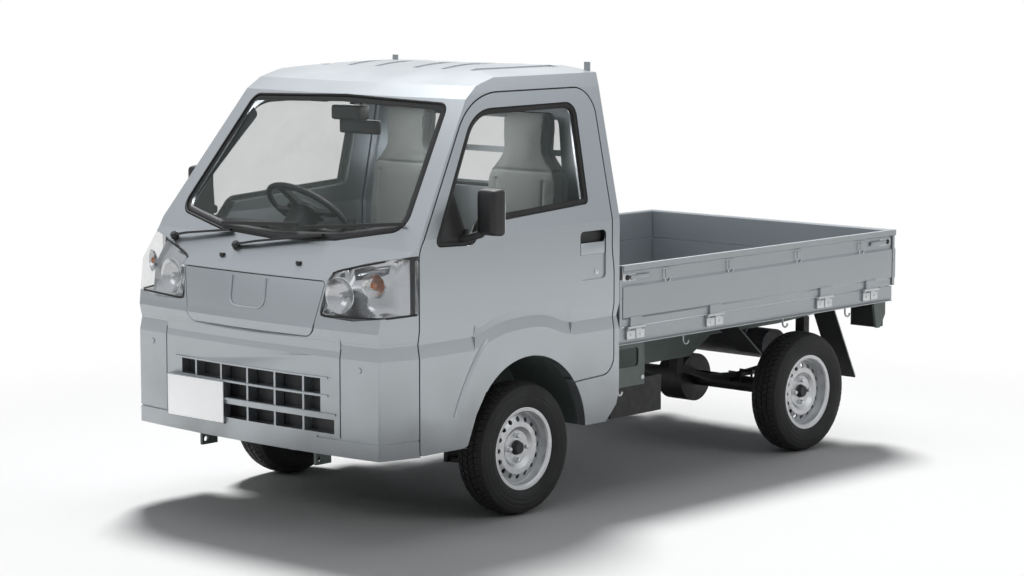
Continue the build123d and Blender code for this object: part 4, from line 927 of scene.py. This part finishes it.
crank_rows = [(0, 0.018), (0.012, 0.016), (0.016, 0.008), (0.0165, 0)]
for side, word in sides:
    body = "door_" + word
    side_box("door_card_" + word, side, 0.6905, 0.676, (-1.36, 0.70), (-0.42, 1.07), grey, body,
             "cabin_plastic", 0.008)
    side_box("door_armrest_" + word, side, 0.677, 0.640, (-1.02, 0.905), (-0.62, 0.940), black, body,
             "trim_plastic", 0.012)
    lathe("window_crank_" + word, crank_rows, (side * 0.676, -1.12, 0.86), (-side, 0, 0), black, body,
          "trim_plastic", 24)
    side_box("window_crank_arm_" + word, side, 0.664, 0.656, (-1.19, 0.852), (-1.11, 0.868), black, body,
             "trim_plastic", 0.003)

# Seats: foam under woven cloth with sewn channels, and a head restraint in one with the back. Each stands
# on the seat box and is a little fuller in its middle than along its seams.

fabric, tone = new_finish("seat cloth")
threads = {"Vector": tone.node("TexCoord", out="Object"), "Scale": 260}
weave = tone.node("TexWave", {"bands_direction": "DIAGONAL"}, threads)
show(tone, tone.node("BsdfPrincipled", feeds={
    "Base Color": (dirt(tone, 8) * 0.6 + weave * 0.4).tint((0.15, 0.165, 0.16), (0.25, 0.27, 0.265)),
    "Roughness": dirt(tone, 40) * 0.1 + 0.85,
    "Sheen Weight": 0.3,
    "Normal": tone.node("Bump", feeds={"Height": weave, "Strength": 0.3, "Distance": 0.0008}),
}))


def settled(pad):
    """A mesh of the pad as its modifiers leave it."""
    return bpy.data.meshes.new_from_object(pad.evaluated_get(bpy.context.evaluated_depsgraph_get()))


def stuffed(name, mesh):
    """Fills a closed form with pressure inside a cloth whose lowest part is held in place."""
    shrink, swell, held_below, last_frame = 0.012, 0.022, 0.70, 20
    pad = bpy.data.objects.new(name, mesh)
    bpy.context.collection.objects.link(pad)
    even = pad.modifiers.new("even", "REMESH")
    even.mode = "VOXEL"
    even.voxel_size = 0.009
    start = settled(pad)
    pad.modifiers.clear()
    ways = [v.normal.copy() for v in start.vertices]
    for v, way in zip(start.vertices, ways):
        v.co -= way * shrink
    pad.data = start
    group = pad.vertex_groups.new(name="held")
    group.add([v.index for v in start.vertices if v.co.z < held_below], 1.0, "REPLACE")
    rest = [v.co.copy() for v in start.vertices]
    cloth = pad.modifiers.new("filling", "CLOTH")
    cloth.settings.vertex_group_mass = "held"
    cloth.settings.use_pressure = True
    cloth.settings.uniform_pressure_force = 4
    cloth.settings.effector_weights.gravity = 0
    for frame_number in range(1, last_frame + 1):
        bpy.context.scene.frame_set(frame_number)
    full = settled(pad)
    for v, was in zip(full.vertices, rest):
        move = v.co - was
        if move.length > swell:
            v.co = was + move.normalized() * swell
    pad.modifiers.clear()
    pad.vertex_groups.clear()
    pad.data = full
    bpy.context.scene.frame_set(1)
    fine = pad.modifiers.new("fine", "SUBSURF")
    fine.levels = fine.render_levels = 1
    made = settled(pad)
    bpy.data.objects.remove(pad)
    return made


def seam_distance(node, p, x):
    """How far a point of a seat lies from the nearest seam; x is its distance from the seat's middle."""
    if node == "seat_cushions":
        lengthways = abs(x - 0.135) if p.y > -0.90 else 1
        across = abs(p.y + 0.90) if x < 0.2 else 1
        return min(lengthways, across, abs(p.z - 0.79) * 2)
    upright = abs(x - 0.13) if p.z < 1.30 else 1
    level = min(abs(p.z - 1.335), abs(p.z - 1.02) if x < 0.13 else 1)
    edging = abs(p.y + 0.445 - 0.055 * (p.z - 0.7)) * 2
    return min(upright, level, edging)


seam_width, seam_depth, pad_rise, pad_reach, pad_foot = 0.0055, 0.005, 0.006, 0.05, 0.72
for side, word in sides:
    for node in ("seat_cushions", "seat_backs"):
        form = bmesh.new()
        form.from_mesh(nodes[node].data)
        bmesh.ops.remove_doubles(form, verts=form.verts[:], dist=0.00005)
        bmesh.ops.delete(form, geom=[v for v in form.verts if v.co.x * side < 0], context="VERTS")
        mesh = bpy.data.meshes.new(node)
        form.to_mesh(mesh)
        form.free()
        mesh = stuffed(node, mesh)
        ways = [v.normal.copy() for v in mesh.vertices]
        for v, way in zip(mesh.vertices, ways):
            seam = seam_distance(node, v.co, abs(v.co.x - side * seat_x))
            puff = pad_rise * min(seam / pad_reach, 1) ** 0.5 if v.co.z > pad_foot else 0
            v.co += way * (puff - seam_depth * math.exp(-((seam / seam_width) ** 2)))
        made = piece(node[:-1] + "_" + word, mesh, fabric, "truck", 80)
        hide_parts(node)
    for k, (dx, y) in enumerate(((-0.15, -0.90), (0.15, -0.90), (-0.15, -0.56), (0.15, -0.56))):
        x = side * seat_x + dx
        box(f"seat_foot_{word}_{k}", (x - 0.018, y - 0.03, 0.6795), (x + 0.018, y + 0.03, 0.694), black_metal,
            "truck", "black_metal", 0.002)
